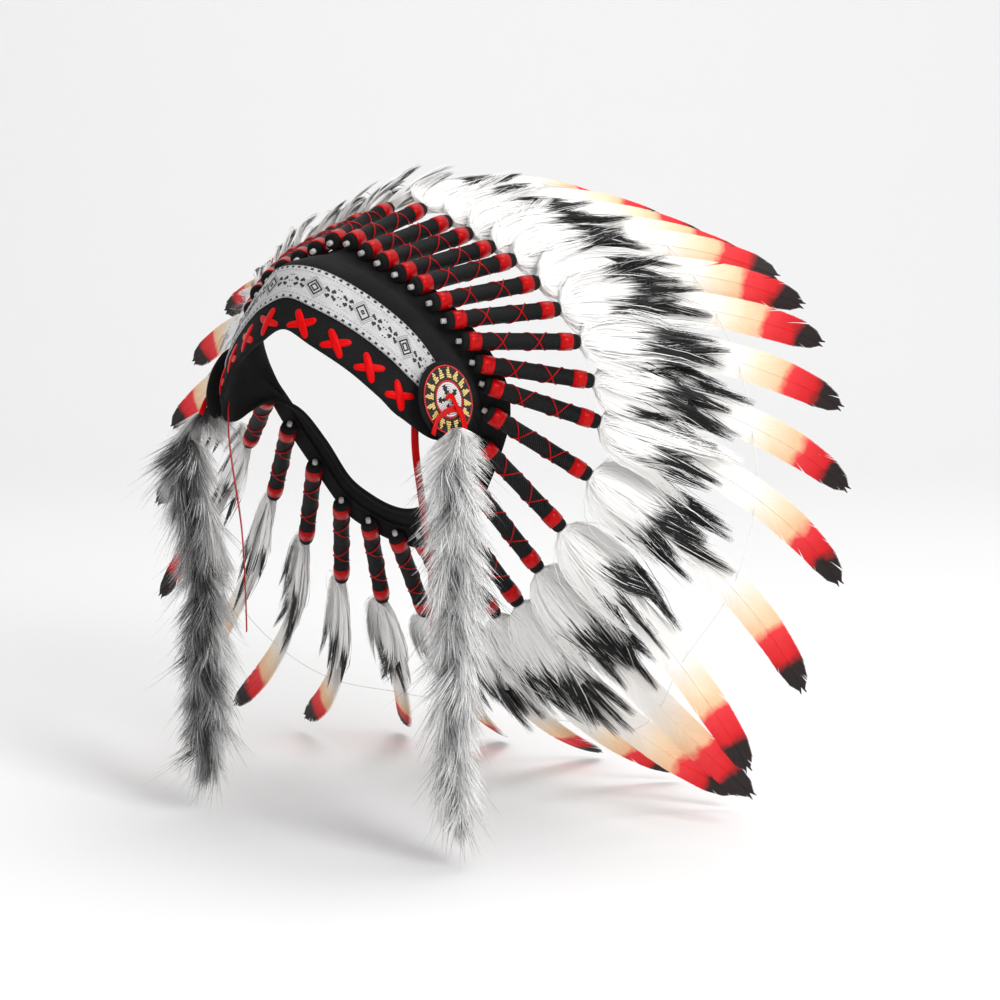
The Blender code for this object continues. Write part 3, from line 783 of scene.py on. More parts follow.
def black_cells():
    square = np.array([(x, y) for x in (-1, 1) for y in (-1, 1)]) * CELL
    heart = np.concatenate([square * 0.8, square * [1.6, 0], square * [0, 1.6]])
    spots = np.array([(x, y) for x in (-1, 1) for y in (0, -1, 1)]) * [SPOTS_ALONG, SPOTS_ACROSS]
    parts = [
        repeated(diamond_line(DIAMOND), REPEATS),
        repeated(diamond_line(SMALL_DIAMOND), REPEATS[::2]),
        repeated(heart, REPEATS[1::2]),
        repeated(butterfly(), np.concatenate([REPEATS - BUTTERFLY, REPEATS + BUTTERFLY])),
        repeated(spots, REPEATS + REPEAT / 2),
    ]
    return np.concatenate(parts)


def on_ribbon(cells):
    over = 1.5 + cells[:, 1] / RIBBON_WIDTH
    place, along, _, out = band_frame(station_at(cells[:, 0]), over)
    return place + out * (GAP + RIBBON_THICKNESS), along, out


def float_form():
    """One raised float of yarn, a low pad one unit long and wide."""
    corners = ((-1, -1), (1, -1), (1, 1), (-1, 1))
    points = [(x * half, y * half, z) for half, z in ((0.5, 0), (0.36, 1)) for x, y in corners]
    quads = [(4, 5, 6, 7), (0, 1, 5, 4), (1, 2, 6, 5), (2, 3, 7, 6), (3, 0, 4, 7)]
    return new_piece("float_form", points, quads, None)


FLOAT_HEIGHT = 0.12 * MM
BLACK_YARN, _, _ = new_finish("black_yarn", (0.012, 0.012, 0.012), 0.7)
GREY_YARN, _, _ = new_finish("grey_yarn", (0.16, 0.16, 0.17), 0.5)
yarn = float_form()
zigzag = [diamond_line(radius, ZIGZAG_PITCH) for radius in (ZIGZAG, ZIGZAG * ZIGZAG_INSIDE)]
WOVEN = (
    # name, cells, size in millimetres along and across, finish
    ("ribbon_figures", black_cells(), (0.88, 0.88), BLACK_YARN),
    ("ribbon_dots", even_row(DOT_PITCH, DOT_ROW), (1.9, 1.5), BLACK_YARN),
    ("ribbon_dashes", even_row(DASH_PITCH, DASH_ROW), (1.5, 0.30), GREY_YARN),
    ("ribbon_zigzags", repeated(np.concatenate(zigzag), REPEATS), (0.62, 0.36), GREY_YARN),
    ("ribbon_selvedge", even_row(DASH_PITCH, SELVEDGE_ROW), (1.5, 0.30), GREY_YARN),
)
for label, cells, size, finish in WOVEN:
    place, along, out = on_ribbon(cells)
    made = copies(label, yarn, place, along, out, (size[0] * MM, size[1] * MM, FLOAT_HEIGHT), finish)
    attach(made, "root")
    print(label, "faces:", len(made.data.polygons))
bpy.data.objects.remove(yarn, do_unlink=True)

# %% [markdown]
# ## Cross stitches
#
# Fat crosses of red satin are sewn along the band's lower edge. Each stroke is a padded bar
# that swells in the middle, sinks where it enters the felt and comes to a blunt point. It is
# laid on the felt in the band's own directions, so that it bends with the forehead.

# %% Stitches
STITCH_PLACES = (11 * MM, 33 * MM, 58 * MM, 83 * MM)
STITCH_LONG = 19 * MM
STITCH_WIDE = 4.8 * MM
STITCH_HIGH = 1.0 * MM
STITCH_SINK = 0.2 * MM
STITCH_OVER = 0.44
STROKES = (
    # lean against the band in degrees, lift over the other stroke
    (37, 0.0),
    (-39, 0.6 * MM),
)


def metric(middle):
    """What a metre along and a metre up the felt are, in ribbon length and in lines crossed."""
    reach = 1 * MM
    here, along, up, _ = band_frame(station_at(middle), STITCH_OVER)
    ahead = band_frame(station_at(middle + reach), STITCH_OVER)[0] - here
    above = band_frame(station_at(middle), STITCH_OVER + STEP)[0] - here
    moves = np.stack([ahead.reshape(3) / reach, above.reshape(3) / STEP], 1)
    return np.linalg.lstsq(moves, np.stack([along.reshape(3), unit(up.reshape(3))], 1), rcond=None)[0]


def stitch(middle, lean, lift):
    """Grid of one stroke on the felt: lean is its slope against the band in degrees."""
    share = np.linspace(-1, 1, 19)
    around = np.linspace(0, math.pi, 9)
    long = share * STITCH_LONG / 2
    swell = (1 - np.abs(share) ** 8) ** 0.5 * (0.70 + 0.30 * np.cos(share * 1.5)) + 0.04
    turn = math.radians(lean)
    side = np.cos(around)[None, :] * swell[:, None] * STITCH_WIDE / 2
    along = long[:, None] * math.cos(turn) - side * math.sin(turn)
    over = long[:, None] * math.sin(turn) + side * math.cos(turn)
    height = np.sin(around)[None, :] ** 0.6 * swell[:, None] * STITCH_HIGH
    height = height + lift * (1 - share[:, None] ** 2) - STITCH_SINK
    change = metric(middle)
    lengths = middle + along * change[0, 0] + over * change[0, 1]
    lines = STITCH_OVER + along * change[1, 0] + over * change[1, 1]
    place, _, _, out = band_frame(station_at(lengths), lines)
    thread = np.stack([side / MM, long[:, None] / MM + 0 * side, 0 * side], -1)
    return place + out * height[..., None], thread


def stitches():
    points, quads, threads = [], [], []
    for middle in [side * place for place in STITCH_PLACES for side in (-1, 1)]:
        for lean, lift in STROKES:
            grid, thread = stitch(middle, lean if middle > 0 else -lean, lift)
            quads.append(grid_quads(*grid.shape[:2]) + len(points) * grid.size // 3)
            points.append(grid.reshape(-1, 3))
            threads.append(thread.reshape(-1, 3))
    values = {"thread": np.concatenate(threads)}
    return new_piece("cross_stitches", np.concatenate(points), np.concatenate(quads), RED_STITCH, values)


crosses = stitches()
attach(crosses, "root")
print("cross stitches faces:", len(crosses.data.polygons))

# %% [markdown]
# ## Bound quills
#
# Each feather's quill is bound before it is sewn on: a black cap, a band of red satin, a long
# stretch of black thread, a second band and a blunt end. Two red threads cross over the black.
# One wrap is turned from a short profile and then placed thirty-two times by moving its points.

# %% Wrap profile
WRAP_RADIUS = WRAP_DIAMETER / 2
PROFILE = np.array([
    # millimetres along the quill, share of the wrap's radius
    (-3.0, 0.02),
    (-3.0, 0.14),
    (-2.95, 0.24),
    (-2.7, 0.29),
    (0.0, 0.31),
    (0.05, 0.62),
    (0.6, 0.84),
    (1.6, 0.93),
    (3.9, 0.95),
    (4.0, 1.00),
    (5.9, 1.02),
    (11.4, 1.01),
    (11.5, 0.92),
    (30.0, 0.93),
    (60.3, 0.90),
    (60.4, 0.98),
    (64.0, 1.00),
    (68.5, 0.97),
    (68.6, 0.86),
    (71.5, 0.84),
    (73.2, 0.72),
    (74.0, 0.30),
])
PARTS = (
    # name, first and last row of the profile, finish
    ("quill_end", 0, 4, WHITE_QUILL),
    ("cap", 4, 8, BLACK_FELT),
    ("band", 8, 12, RED_SATIN),
    ("thread", 12, 14, BLACK_THREAD),
    ("second_band", 14, 18, RED_SATIN),
    ("end", 18, 21, BLACK_FELT),
)
ROUND = 28


def wrap_grid():
    """The wrap's points about +X, one ring for each row of the profile."""
    long = PROFILE[:, 0] * MM
    radius = PROFILE[:, 1] * WRAP_RADIUS
    # The seam of the winding starts on the side that lies on the felt.
    angle = math.pi + 2 * math.pi * np.arange(ROUND) / ROUND
    x = np.repeat(long[:, None], ROUND, 1)
    y = -radius[:, None] * np.sin(angle)
    z = radius[:, None] * np.cos(angle)
    turn = angle[None, :] * WRAP_RADIUS / MM + 0 * x
    thread = np.stack([x / MM, turn, 0 * x], -1)
    return np.stack([x, y, z], -1), thread


def feather_place(row):
    """Where a wrap starts, and its directions forward, across and out."""
    across = unit(np.cross(DIRECTIONS[row], OUTWARDS[row]))
    return BASES[row] + DIRECTIONS[row] * WRAP_START, DIRECTIONS[row], across, OUTWARDS[row]


def placed(points, row):
    start, forward, across, out = feather_place(row)
    return start + points[..., :1] * forward + points[..., 1:2] * across + points[..., 2:] * out


grid, thread = wrap_grid()
print("points on a wrap:", grid.shape[0] * grid.shape[1])

# %% Wraps
def wrap(row, label, side):
    quads = grid_quads(len(PROFILE), ROUND, round_columns=True)
    values = {"thread": thread.reshape(-1, 3)}
    made = new_piece(f"wrap_{label}_{row + 1:02d}", placed(grid, row), quads, None, values, side)
    index = np.zeros(len(quads), int)
    for place, (_, first, last, finish) in enumerate(PARTS):
        made.data.materials.append(finish)
        index[first * ROUND : last * ROUND] = place
    made.data.polygons.foreach_set("material_index", index)
    return made


CROSS_ENDS = (11.6 * MM, 60.2 * MM)
CROSS_PITCH = 22.7 * MM
CROSS_AT = 24 * MM
CROSS_WIDTH = 0.8 * MM


def crossing_threads(row, label, side):
    """Two red threads wound opposite ways, which cross on the face of the wrap."""
    long = np.linspace(*CROSS_ENDS, 42)
    paths = []
    for turn in (-1, 1):
        angle = turn * 2 * math.pi * (long - CROSS_AT) / CROSS_PITCH
        lift = WRAP_RADIUS * 0.95 + (0.15 * MM if turn > 0 else 0)
        paths.append(np.stack([long, -lift * np.sin(angle), lift * np.cos(angle)], 1))
    paths = placed(np.array(paths), row)
    name = f"crossing_threads_{label}_{row + 1:02d}"
    return strands(name, paths, CROSS_WIDTH, OUTWARDS[row], RED_SATIN, None, side, ROUND_STRANDS)


for label, side in SIDES:
    for row in range(len(FEATHER_ROWS)):
        for made in (wrap(row, label, side), crossing_threads(row, label, side)):
            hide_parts(f"feather_{label}_{row + 1:02d}")
            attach(made, "root")
print("wraps placed:", 2 * len(FEATHER_ROWS))

# %% [markdown]
# ## Vanes
#
# A feather's vane is two rows of barbs on a thin shaft. Barbs that cling make a smooth blade,
# and where they let go a notch opens. So each vane is grown barb by barb: every barb is a flat
# strand that leaves the shaft at a slant and ends on the vane's outline. Groups of barbs lean
# a little more or less than their neighbours, which opens the splits of a worn feather.

# %% Paths of the vanes
PATH_STEPS = 24
VANE_HALF = 11.5 * MM
VANE_ROWS = np.array([
    # share of length, share of half width
    (0.00, 0.10),
    (0.16, 0.22),
    (0.34, 0.74),
    (0.52, 1.00),
    (0.76, 1.00),
    (0.91, 0.86),
    (0.97, 0.60),
    (1.00, 0.20),
])


def vane_path(row):
    """Points of a vane's shaft from the wrap's end to the tip."""
    turn, rise, tip_turn, tip_rise, share = FEATHER_ROWS[row, 3:8]
    eased = ((np.arange(PATH_STEPS) + 0.5) / PATH_STEPS) ** BEND_POWER
    steps = heading(turn + (tip_turn - turn) * eased, rise + (tip_rise - rise) * eased)
    start = BASES[row] + DIRECTIONS[row] * (WRAP_START + WRAP_LENGTH)
    moved = np.cumsum(steps, 0) * share * VANE_LENGTH / PATH_STEPS
    return np.vstack([start, start + moved])


def path_at(row, share):
    """Places along a vane's path with the directions forward, across and out."""
    path = vane_path(row)
    roll = math.radians(FEATHER_ROWS[row, 8])
    forward = unit(np.gradient(path, axis=0))
    across = unit(TANGENTS[row] - forward * (forward @ TANGENTS[row])[:, None])
    out = np.cross(across, forward)
    turned = across * math.cos(roll) + out * math.sin(roll)
    marks = np.arange(len(path)) / PATH_STEPS
    flat = np.ravel(share)
    frames = []
    for part in (path, forward, turned, np.cross(turned, forward)):
        frames.append(spline(marks, part, flat).reshape(*np.shape(share), 3))
    return frames


def outline(share):
    return np.interp(share, VANE_ROWS[:, 0], VANE_ROWS[:, 1]) * VANE_HALF


print("longest vane, mm:", round(FEATHER_ROWS[:, 7].max() * VANE_LENGTH / MM))

# %% Barbs
BARBS = 165
BARB_WIDTHS = np.array([1.9, 1.9, 1.7, 0.6])
BARB_STEPS = len(BARB_WIDTHS)
CAMBER = 0.16
CALM_SPLITS = 3
TIP_SPLITS = 2
TORN_SHARE = 0.010


def barbs(row, label, side, chance):
    """Every barb of one vane: paths, directions across each barb, widths and values."""
    length = FEATHER_ROWS[row, 7] * VANE_LENGTH
    root = np.linspace(0.02, 0.985, BARBS)
    step = np.linspace(0, 1, BARB_STEPS)
    found = []
    for half in (-1, 1):
        calm = chance.uniform(0.35, 0.78, CALM_SPLITS)
        loose = chance.uniform(0.80, 0.97, TIP_SPLITS)
        splits = np.sort(np.concatenate([calm, loose]))
        group = np.searchsorted(splits, root)
        lean = chance.uniform(-1.6, 1.6, len(splits) + 1)[group]
        lean = lean * np.where(root > 0.8, 1.5, 1.0)
        slant = np.radians(38 - 13 * root + lean)
        reach = outline(root) / np.sin(slant)
        for _ in range(12):
            tip = np.minimum(root + reach * np.cos(slant) * 1.1 / length, 1.0)
            reach = 0.5 * reach + 0.5 * outline(tip) / np.sin(slant)
        reach = reach * (1 + chance.normal(0, 0.006, BARBS))
        torn = chance.random(BARBS) < TORN_SHARE
        reach = reach * np.where(torn, chance.uniform(0.6, 0.9, BARBS), 1)
        reach = np.minimum(reach, (1.012 - root) * length)
        bow = 0.10 * step**2
        ahead = reach[:, None] * (step * np.cos(slant)[:, None] + bow)
        sideways = reach[:, None] * (step * np.sin(slant)[:, None] - bow * 0.6)
        share = root[:, None] + ahead / length
        place, forward, across, out = path_at(row, np.minimum(share, 1.0))
        over = np.maximum(share - 1.0, 0) * length
        dip = -CAMBER * sideways**2 / VANE_HALF + 0.03 * MM * np.sin(root * 900)[:, None]
        place = place + forward * over[..., None] + across * (half * sideways)[..., None]
        wide = forward * np.sin(slant)[:, None, None] - across * (half * np.cos(slant))[:, None, None]
        thick = BARB_WIDTHS * length / BARBS * np.sin(slant)[:, None]
        change = np.repeat(chance.random(BARBS)[:, None], BARB_STEPS, 1)
        found.append((place + out * dip[..., None], wide, thick, np.minimum(share, 1.0), change))
    paths, wides, widths, alongs, changes = (np.concatenate(part) for part in zip(*found))
    name = f"barbs_{label}_{row + 1:02d}"
    values = {"along": alongs, "change": changes}
    return strands(name, paths, widths, wides, VANE, values, side)


def shaft(row, label, side):
    share = np.linspace(0, 0.99, 22)
    place, _, across, out = path_at(row, share)
    width = (1.25 - 1.05 * share) * MM
    path = (place + out * 0.15 * MM)[None]
    values = {"along": share, "change": 0 * share}
    return strands(f"shaft_{label}_{row + 1:02d}", path, width, across, VANE, values, side, ROUND_STRANDS)


for label, side in SIDES:
    for row in range(len(FEATHER_ROWS)):
        chance = np.random.default_rng(100 + 2 * row + (side < 0))
        for made in (barbs(row, label, side, chance), shaft(row, label, side)):
            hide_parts(f"feather_{label}_{row + 1:02d}")
            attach(made, "root")
print("barbs grown:", 4 * BARBS * len(FEATHER_ROWS))

# %% [markdown]
# ## Plumes
#
# Long silky hair is bound in with each quill. It leaves the wrap as a tight bunch, swells and
# parts into locks, and more than half of the hairs are black in their last stretch. A lock is
# what the eye sees, so the hairs are grown lock by lock: each starts in the wrap's end and is
# drawn towards its own lock's middle as it nears the tip.

# %% Plume sizes
PLUME_LENGTH = 95 * MM
PLUME_HALF = 17 * MM


def puff_of(row):
    """The share of a plume's length over which it opens: the low ones hang and open slowly."""
    return np.interp(row, (9, 12), (0.33, 0.66))


def plume_length(row):
    return PLUME_LENGTH * np.interp(row, (8, 12), (1.0, 1.14))


def plume_room(row):
    """Half the width that a plume can take before it meets its neighbours."""
    path = vane_path(row)
    rooms = []
    for other in (row - 1, row + 1):
        inside = 0 <= other < len(FEATHER_ROWS)
        beside = vane_path(other) if inside else path * FLIP
        rooms.append(np.linalg.norm(path[:, None] - beside[None], axis=2).min(1))
    return np.minimum(np.minimum(*rooms) * 0.66, PLUME_HALF)


def room_at(row, share):
    return np.interp(share, np.arange(PATH_STEPS + 1) / PATH_STEPS, plume_room(row))


print("room for the first plume, mm:", round(2 * plume_room(0).max() / MM))

# %% Plume hairs
PLUME_HAIRS = 1150
PLUME_LOCKS = 13
PLUME_ROOT = (3.8 * MM, 3.4 * MM)
HAIR_STEPS = np.array([0, 0.05, 0.15, 0.33, 0.53, 0.77, 1.0])
HAIR_WIDTHS = np.array([0.6, 0.9, 1, 1, 0.95, 0.7, 0.08]) * 0.62 * MM
STRAY_SHARE = 0.05
DARK_LOCKS = 0.92


def plume(row, label, side, chance):
    """The hairs of one plume, lock by lock, with the darkness of each kept along it."""
    length = FEATHER_ROWS[row, 7] * VANE_LENGTH
    count = PLUME_HAIRS
    lock = chance.integers(0, PLUME_LOCKS, count)
    spots = np.linspace(-1, 1, PLUME_LOCKS)
    lock_side = spots + chance.normal(0, 0.06, PLUME_LOCKS)
    lock_out = chance.permutation(np.linspace(-1.3, 1.0, PLUME_LOCKS))
    lock_long = (1 - 0.22 * spots**2) * chance.uniform(0.68, 1.10, PLUME_LOCKS)
    lock_dark = chance.random(PLUME_LOCKS) < np.where(np.abs(spots) < 0.62, DARK_LOCKS, 0.50)
    lock_from = lock_long * chance.uniform(0.46, 0.60, PLUME_LOCKS)
    step = HAIR_STEPS[None, :]
    reach = lock_long[lock] * (1 - 0.36 * chance.random(count) ** 1.8) * plume_length(row)
    share = np.minimum(reach[:, None] * step / length, 1.0)
    place, _, across, out = path_at(row, share)
    stray = np.where(chance.random(count) < STRAY_SHARE, 3.0, 1.0)[:, None]
    spread = chance.normal(0, 0.11, count)[:, None] * (1.35 - 1.1 * step**1.5) * stray
    loose = chance.normal(0, 0.5, count)[:, None] * stray
    goal_side = (lock_side[lock][:, None] + spread) * room_at(row, share)
    goal_out = (3.2 + 5.0 * lock_out[lock][:, None] * (1 - 0.6 * lock_side[lock][:, None] ** 2)) * MM
    goal_out = goal_out + loose * 1.4 * MM * step
    root_side = chance.uniform(-1, 1, count)[:, None] * PLUME_ROOT[0]
    root_out = chance.uniform(-0.6, 1, count)[:, None] * PLUME_ROOT[1]
    puff = puff_of(row) * chance.uniform(0.8, 1.5, count)[:, None]
    opening = np.sqrt(1 - (1 - np.minimum(step / puff, 1)) ** 2)
    bend = chance.normal(0, 5.5, PLUME_LOCKS)[lock][:, None] + 2.0 * loose
    wave = (np.sin(step * 5 + 0.9 * lock[:, None]) * 0.8 * step + bend * step**3) * MM
    sideways = root_side * (1 - opening) + goal_side * opening + wave
    outwards = root_out * (1 - opening) + goal_out * opening
    paths = place + across * sideways[..., None] + out * outwards[..., None]
    roll = (0.6 * sideways / PLUME_HALF + chance.normal(0, 0.10, (count, 1)))[..., None]
    wide = across * np.cos(roll) - out * np.sin(roll)
    dark = np.where(lock_dark[lock], chance.random(count) < 0.93, chance.random(count) < 0.05)
    start = lock_from[lock] + chance.normal(0, 0.035, count)
    tone = smooth(share * length / plume_length(row), start[:, None] - 0.12, start[:, None] + 0.12)
    values = {"tone": tone * dark[:, None], "change": chance.random(count)[:, None] ** 2 + 0 * step}
    name = f"plume_{label}_{row + 1:02d}"
    return strands(name, paths, HAIR_WIDTHS, wide, PLUME_HAIR, values, side)


print("hairs in a plume:", PLUME_HAIRS)

# %% Plume hearts
TUFT_SHARE = 0.62
TUFT_THICKNESS = 2.7 * MM
TUFT_GRID = (17, 24)


def tuft(row, label, side):
    """The dense white heart of a plume, so that nothing shows through its hairs."""
    length = FEATHER_ROWS[row, 7] * VANE_LENGTH
    along = np.linspace(0, 1, TUFT_GRID[0])
    share = along * TUFT_SHARE * plume_length(row) / length
    place, _, across, out = path_at(row, share)
    open_share = np.minimum(along / (1.5 * puff_of(row)), 1)
    swell = np.sqrt(1 - (1 - open_share) ** 2) * (1 - smooth(along, 0.62, 1.05) * 0.75)
    wide = np.maximum(room_at(row, share) * 0.80 * swell, 3.6 * MM * (1 - along))
    thick = TUFT_THICKNESS * (1 - 0.75 * along**2)
    angle = 2 * math.pi * np.arange(TUFT_GRID[1]) / TUFT_GRID[1]
    ridge = 1 + 0.07 * np.sin(7 * angle)[None, :] * along[:, None]
    sides = (-np.sin(angle)[None, :] * wide[:, None] * ridge)[..., None]
    lifts = (np.cos(angle)[None, :] * thick[:, None] * ridge + 2.6 * MM * along[:, None] ** 0.5)[..., None]
    points = place[:, None] + across[:, None] * sides + out[:, None] * lifts
    streak = 0.5 + 0.5 * np.sin(11 * angle + row)[None, :] + 0 * along[:, None]
    values = {"tone": 0 * streak.ravel(), "change": streak.ravel()}
    quads = grid_quads(*TUFT_GRID, round_columns=True)
    return new_piece(f"tuft_{label}_{row + 1:02d}", points, quads, PLUME_HAIR, values, side)


for label, side in SIDES:
    for row in range(len(FEATHER_ROWS)):
        chance = np.random.default_rng(300 + 2 * row + (side < 0))
        for made in (plume(row, label, side, chance), tuft(row, label, side)):
            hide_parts(f"feather_{label}_{row + 1:02d}")
            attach(made, "root")
print("plume hairs:", 2 * PLUME_HAIRS * len(FEATHER_ROWS))

# %% [markdown]
# ## Rosettes
#
# Each rosette is a disc of felt with rings of seed beads sewn round and round: a red rim, gold
# stepped points on black, a red ring and a white middle with small dark figures. A ring's
# radius sets how many beads it holds, and two short rules give every bead its colour.

# %% Rosette frame
ROSETTE_TURN = math.radians(-9)
ROSETTE_LIFT = math.radians(12)
DISC_RADIUS = 23 * MM
BEAD_PITCH = 1.28 * MM
BEAD_RINGS = 16
GOLD_POINTS = 16
DOME = 0.7 * MM

face_out = np.array([
    math.cos(ROSETTE_TURN) * math.cos(ROSETTE_LIFT),
    math.sin(ROSETTE_TURN) * math.cos(ROSETTE_LIFT),
    math.sin(ROSETTE_LIFT),
])
face_back = unit(np.cross(np.array([0.0, 0.0, 1.0]), face_out))
face_up = np.cross(face_out, face_back)


def node_middle(name):
    low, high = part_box(name)
    return (np.array(low) + np.array(high)) / 2


DISC_THICKNESS = 2 * MM
disc_back = node_middle("rosette_disc_left") - face_out * DISC_THICKNESS / 2
print("rosette's back at, mm:", (disc_back / MM).round(1))

# %% Discs
def on_disc(back, up, out):
    """Points of the left rosette from distances back, up and out of the felt's back face."""
    return disc_back + back[..., None] * face_back + up[..., None] * face_up + out[..., None] * face_out


def disc(label, side):
    """A felt disc with a soft round rim, closed at its two poles."""
    radius = np.array([0.01, 0.5, 0.9, 0.98, 1.0, 1.0, 0.98, 0.9, 0.5, 0.01]) * DISC_RADIUS
    height = np.array([0, 0, 0, 0.12, 0.35, 0.65, 0.88, 1, 1, 1]) * DISC_THICKNESS
    angle = 2 * math.pi * np.arange(64) / 64
    back = radius[:, None] * np.cos(angle)
    up = radius[:, None] * np.sin(angle)
    points = on_disc(back, up, height[:, None] + 0 * back)
    quads = grid_quads(len(radius), len(angle), round_columns=True)
    made = new_piece(f"rosette_felt_{label}", points, quads, BLACK_FELT, None, side)
    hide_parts(f"rosette_disc_{label}")
    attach(made, "root")


for label, side in SIDES:
    disc(label, side)
print("discs:", 2)

# %% Bead colours
RED_BEAD = (0.70, 0.012, 0.018)
GOLD_BEAD = (0.95, 0.72, 0.25)
BLACK_BEAD = (0.010, 0.010, 0.010)
WHITE_BEAD = (0.88, 0.87, 0.84)
GOLD_BEADS = {10: 3, 11: 3, 12: 2, 13: 2, 14: 1}
FIGURE_BEADS = {2: 0.5, 3: 1.2, 4: 0.9, 5: 1.4, 6: 0.7}
FIGURES = 5


def bead_color(ring, angle):
    """The colour of a bead by its ring and its angle round the rosette."""
    if ring in (8, 15):
        return RED_BEAD
    if ring >= 9:
        step = 2 * math.pi / GOLD_POINTS
        off = abs((angle / step) % 1 - 0.5) * step * (ring + 0.5) * BEAD_PITCH
        wide = GOLD_BEADS.get(ring, 0) * BEAD_PITCH / 2
        return GOLD_BEAD if off < wide else BLACK_BEAD
    step = 2 * math.pi / FIGURES
    off = abs((angle / step) % 1 - 0.5) * step * (ring + 0.5) * BEAD_PITCH
    wide = FIGURE_BEADS.get(ring, 0) * BEAD_PITCH
    return BLACK_BEAD if off < wide else WHITE_BEAD


def bead_rings():
    places, angles, colors = [], [], []
    for ring in range(BEAD_RINGS):
        radius = (ring + 0.5) * BEAD_PITCH
        count = max(3, round(2 * math.pi * radius / BEAD_PITCH))
        for bead in range(count):
            angle = 2 * math.pi * (bead + 0.5 * (ring % 2)) / count
            places.append((radius * math.cos(angle), radius * math.sin(angle)))
            angles.append(angle)
            colors.append(bead_color(ring, angle))
    return np.array(places), np.array(angles), np.array(colors)


places, angles, colors = bead_rings()
print("beads on a rosette:", len(places))

# %% Beads
def bead_form():
    """A round seed bead about its hole, one unit long and wide."""
    rings = np.array([(-0.5, 0.24), (-0.3, 0.46), (0.3, 0.46), (0.5, 0.24)])
    angle = 2 * math.pi * np.arange(7) / 7
    x = np.repeat(rings[:, :1], 7, 1)
    points = np.stack([x, -rings[:, 1:] * np.sin(angle), rings[:, 1:] * np.cos(angle)], -1)
    return new_piece("bead_form", points, grid_quads(4, 7, round_columns=True), None)


def bead_finish():
    made, tree, shader = new_finish("glass_beads", (0.6, 0.1, 0.1), 0.10, Coat_Weight=0.6)
    color = node(tree, "ShaderNodeAttribute", attribute_name="bead").outputs["Color"]
    tree.links.new(color, shader.inputs["Base Color"])
    return made


GLASS_BEADS = bead_finish()
bead = bead_form()
radius = np.linalg.norm(places, axis=1)
height = DISC_THICKNESS + GAP + BEAD_PITCH * 0.42
height = height + DOME * (1 - (radius / radius.max()) ** 2)
around = -np.sin(angles)[:, None] * face_back + np.cos(angles)[:, None] * face_up
for label, side in SIDES:
    spots = on_disc(places[:, 0], places[:, 1], height)
    outs = np.repeat(face_out[None], len(spots), 0)
    size = (BEAD_PITCH * 0.78, BEAD_PITCH * 0.96, BEAD_PITCH)
    name, values = f"rosette_beads_{label}", {"bead": colors}
    made = copies(name, bead, spots, around, outs, size, GLASS_BEADS, values, side)
    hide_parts(f"rosette_beadwork_{label}")
    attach(made, "root")
    print("bead faces", label, len(made.data.polygons))
bpy.data.objects.remove(bead, do_unlink=True)

# %% [markdown]
# ## Laces and chin ribbons
#
# A narrow satin lace is tied through each rosette, and a flat ribbon hangs free from inside the
# band on each side. Both are thin strips that follow a few chosen points, the same ones as
# their solids.

# %% Strip helper
def strip(name, points, face, width, thickness, finish, side, twist=(0.0, 0.0), fold=0.0):
    """A flat ribbon along points, its face turned to one direction, and its centreline.

    The twists are angles at even steps along the ribbon."""
    marks = np.arange(len(points), dtype=float)
    path = spline(marks, points, np.linspace(0, len(points) - 1, 8 * len(points)))
    forward = unit(np.gradient(path, axis=0))
    across = unit(np.cross(np.broadcast_to(face, path.shape), forward))
    out = np.cross(forward, across)
    turn = np.interp(np.linspace(0, 1, len(path)), np.linspace(0, 1, len(twist)), twist)[:, None]
    across, out = across * np.cos(turn) + out * np.sin(turn), out * np.cos(turn) - across * np.sin(turn)
    over = np.linspace(-0.5, 0.5, 7)
    cup = fold * (4 * over**2 - 1)
    top = path[:, None] + across[:, None] * (over * width)[None, :, None]
    top = top + out[:, None] * (cup * width + thickness / 2)[None, :, None]
    low = top - out[:, None] * thickness
    run = np.concatenate([[0], np.cumsum(np.linalg.norm(np.diff(path, axis=0), axis=1))])
    thread = np.stack(np.broadcast_arrays(over[None] * width / MM, run[:, None] / MM, 0.0), -1)
    made = shell(name, top, low, finish, {"thread": thread}, side)
    return made, path * (FLIP if side < 0 else 1), run[-1]


LACE_POINTS = np.array([
    # back, up, stand-off from the beads, in metres
    (-0.019, -0.019, 0.0003),
    (-0.014, -0.011, 0.0006),
    (-0.006, -0.007, 0.0011),
    (0.003, -0.006, 0.0011),
    (0.007, -0.010, 0.0007),
    (0.008, -0.017, 0.0004),
    (0.007, -0.026, 0.0002),
    (0.009, -0.036, -0.0002),
])
LACE_WIDTH = 4 * MM
LACE_THICKNESS = 0.5 * MM
LACE_TWISTS = (0.2, 0.4, 0.5, 0.3, 0.0, 0.0, 0.1, 0.5)
KNOT_POINTS = np.array([
    # back, up, stand-off from the beads, in metres
    (-0.0035, 0.0005, 0.0003),
    (-0.0015, 0.0020, 0.0010),
    (0.0005, 0.0005, 0.0014),
    (0.0020, -0.0030, 0.0016),
    (0.0035, -0.0065, 0.0016),
])
KNOT_TWISTS = (0.5, -0.3)
BEADWORK_THICKNESS = 1.8 * MM
BEADWORK_TOP = DISC_THICKNESS + BEADWORK_THICKNESS + 2 * GAP


def lace(name, points, width, side, twists, fold):
    """A strip of lace whose points are given from the beadwork's face."""
    route = on_disc(points[:, 0], points[:, 1], points[:, 2] + BEADWORK_TOP)
    return strip(name, route, face_out, width, LACE_THICKNESS, RED_STITCH, side, twists, fold)


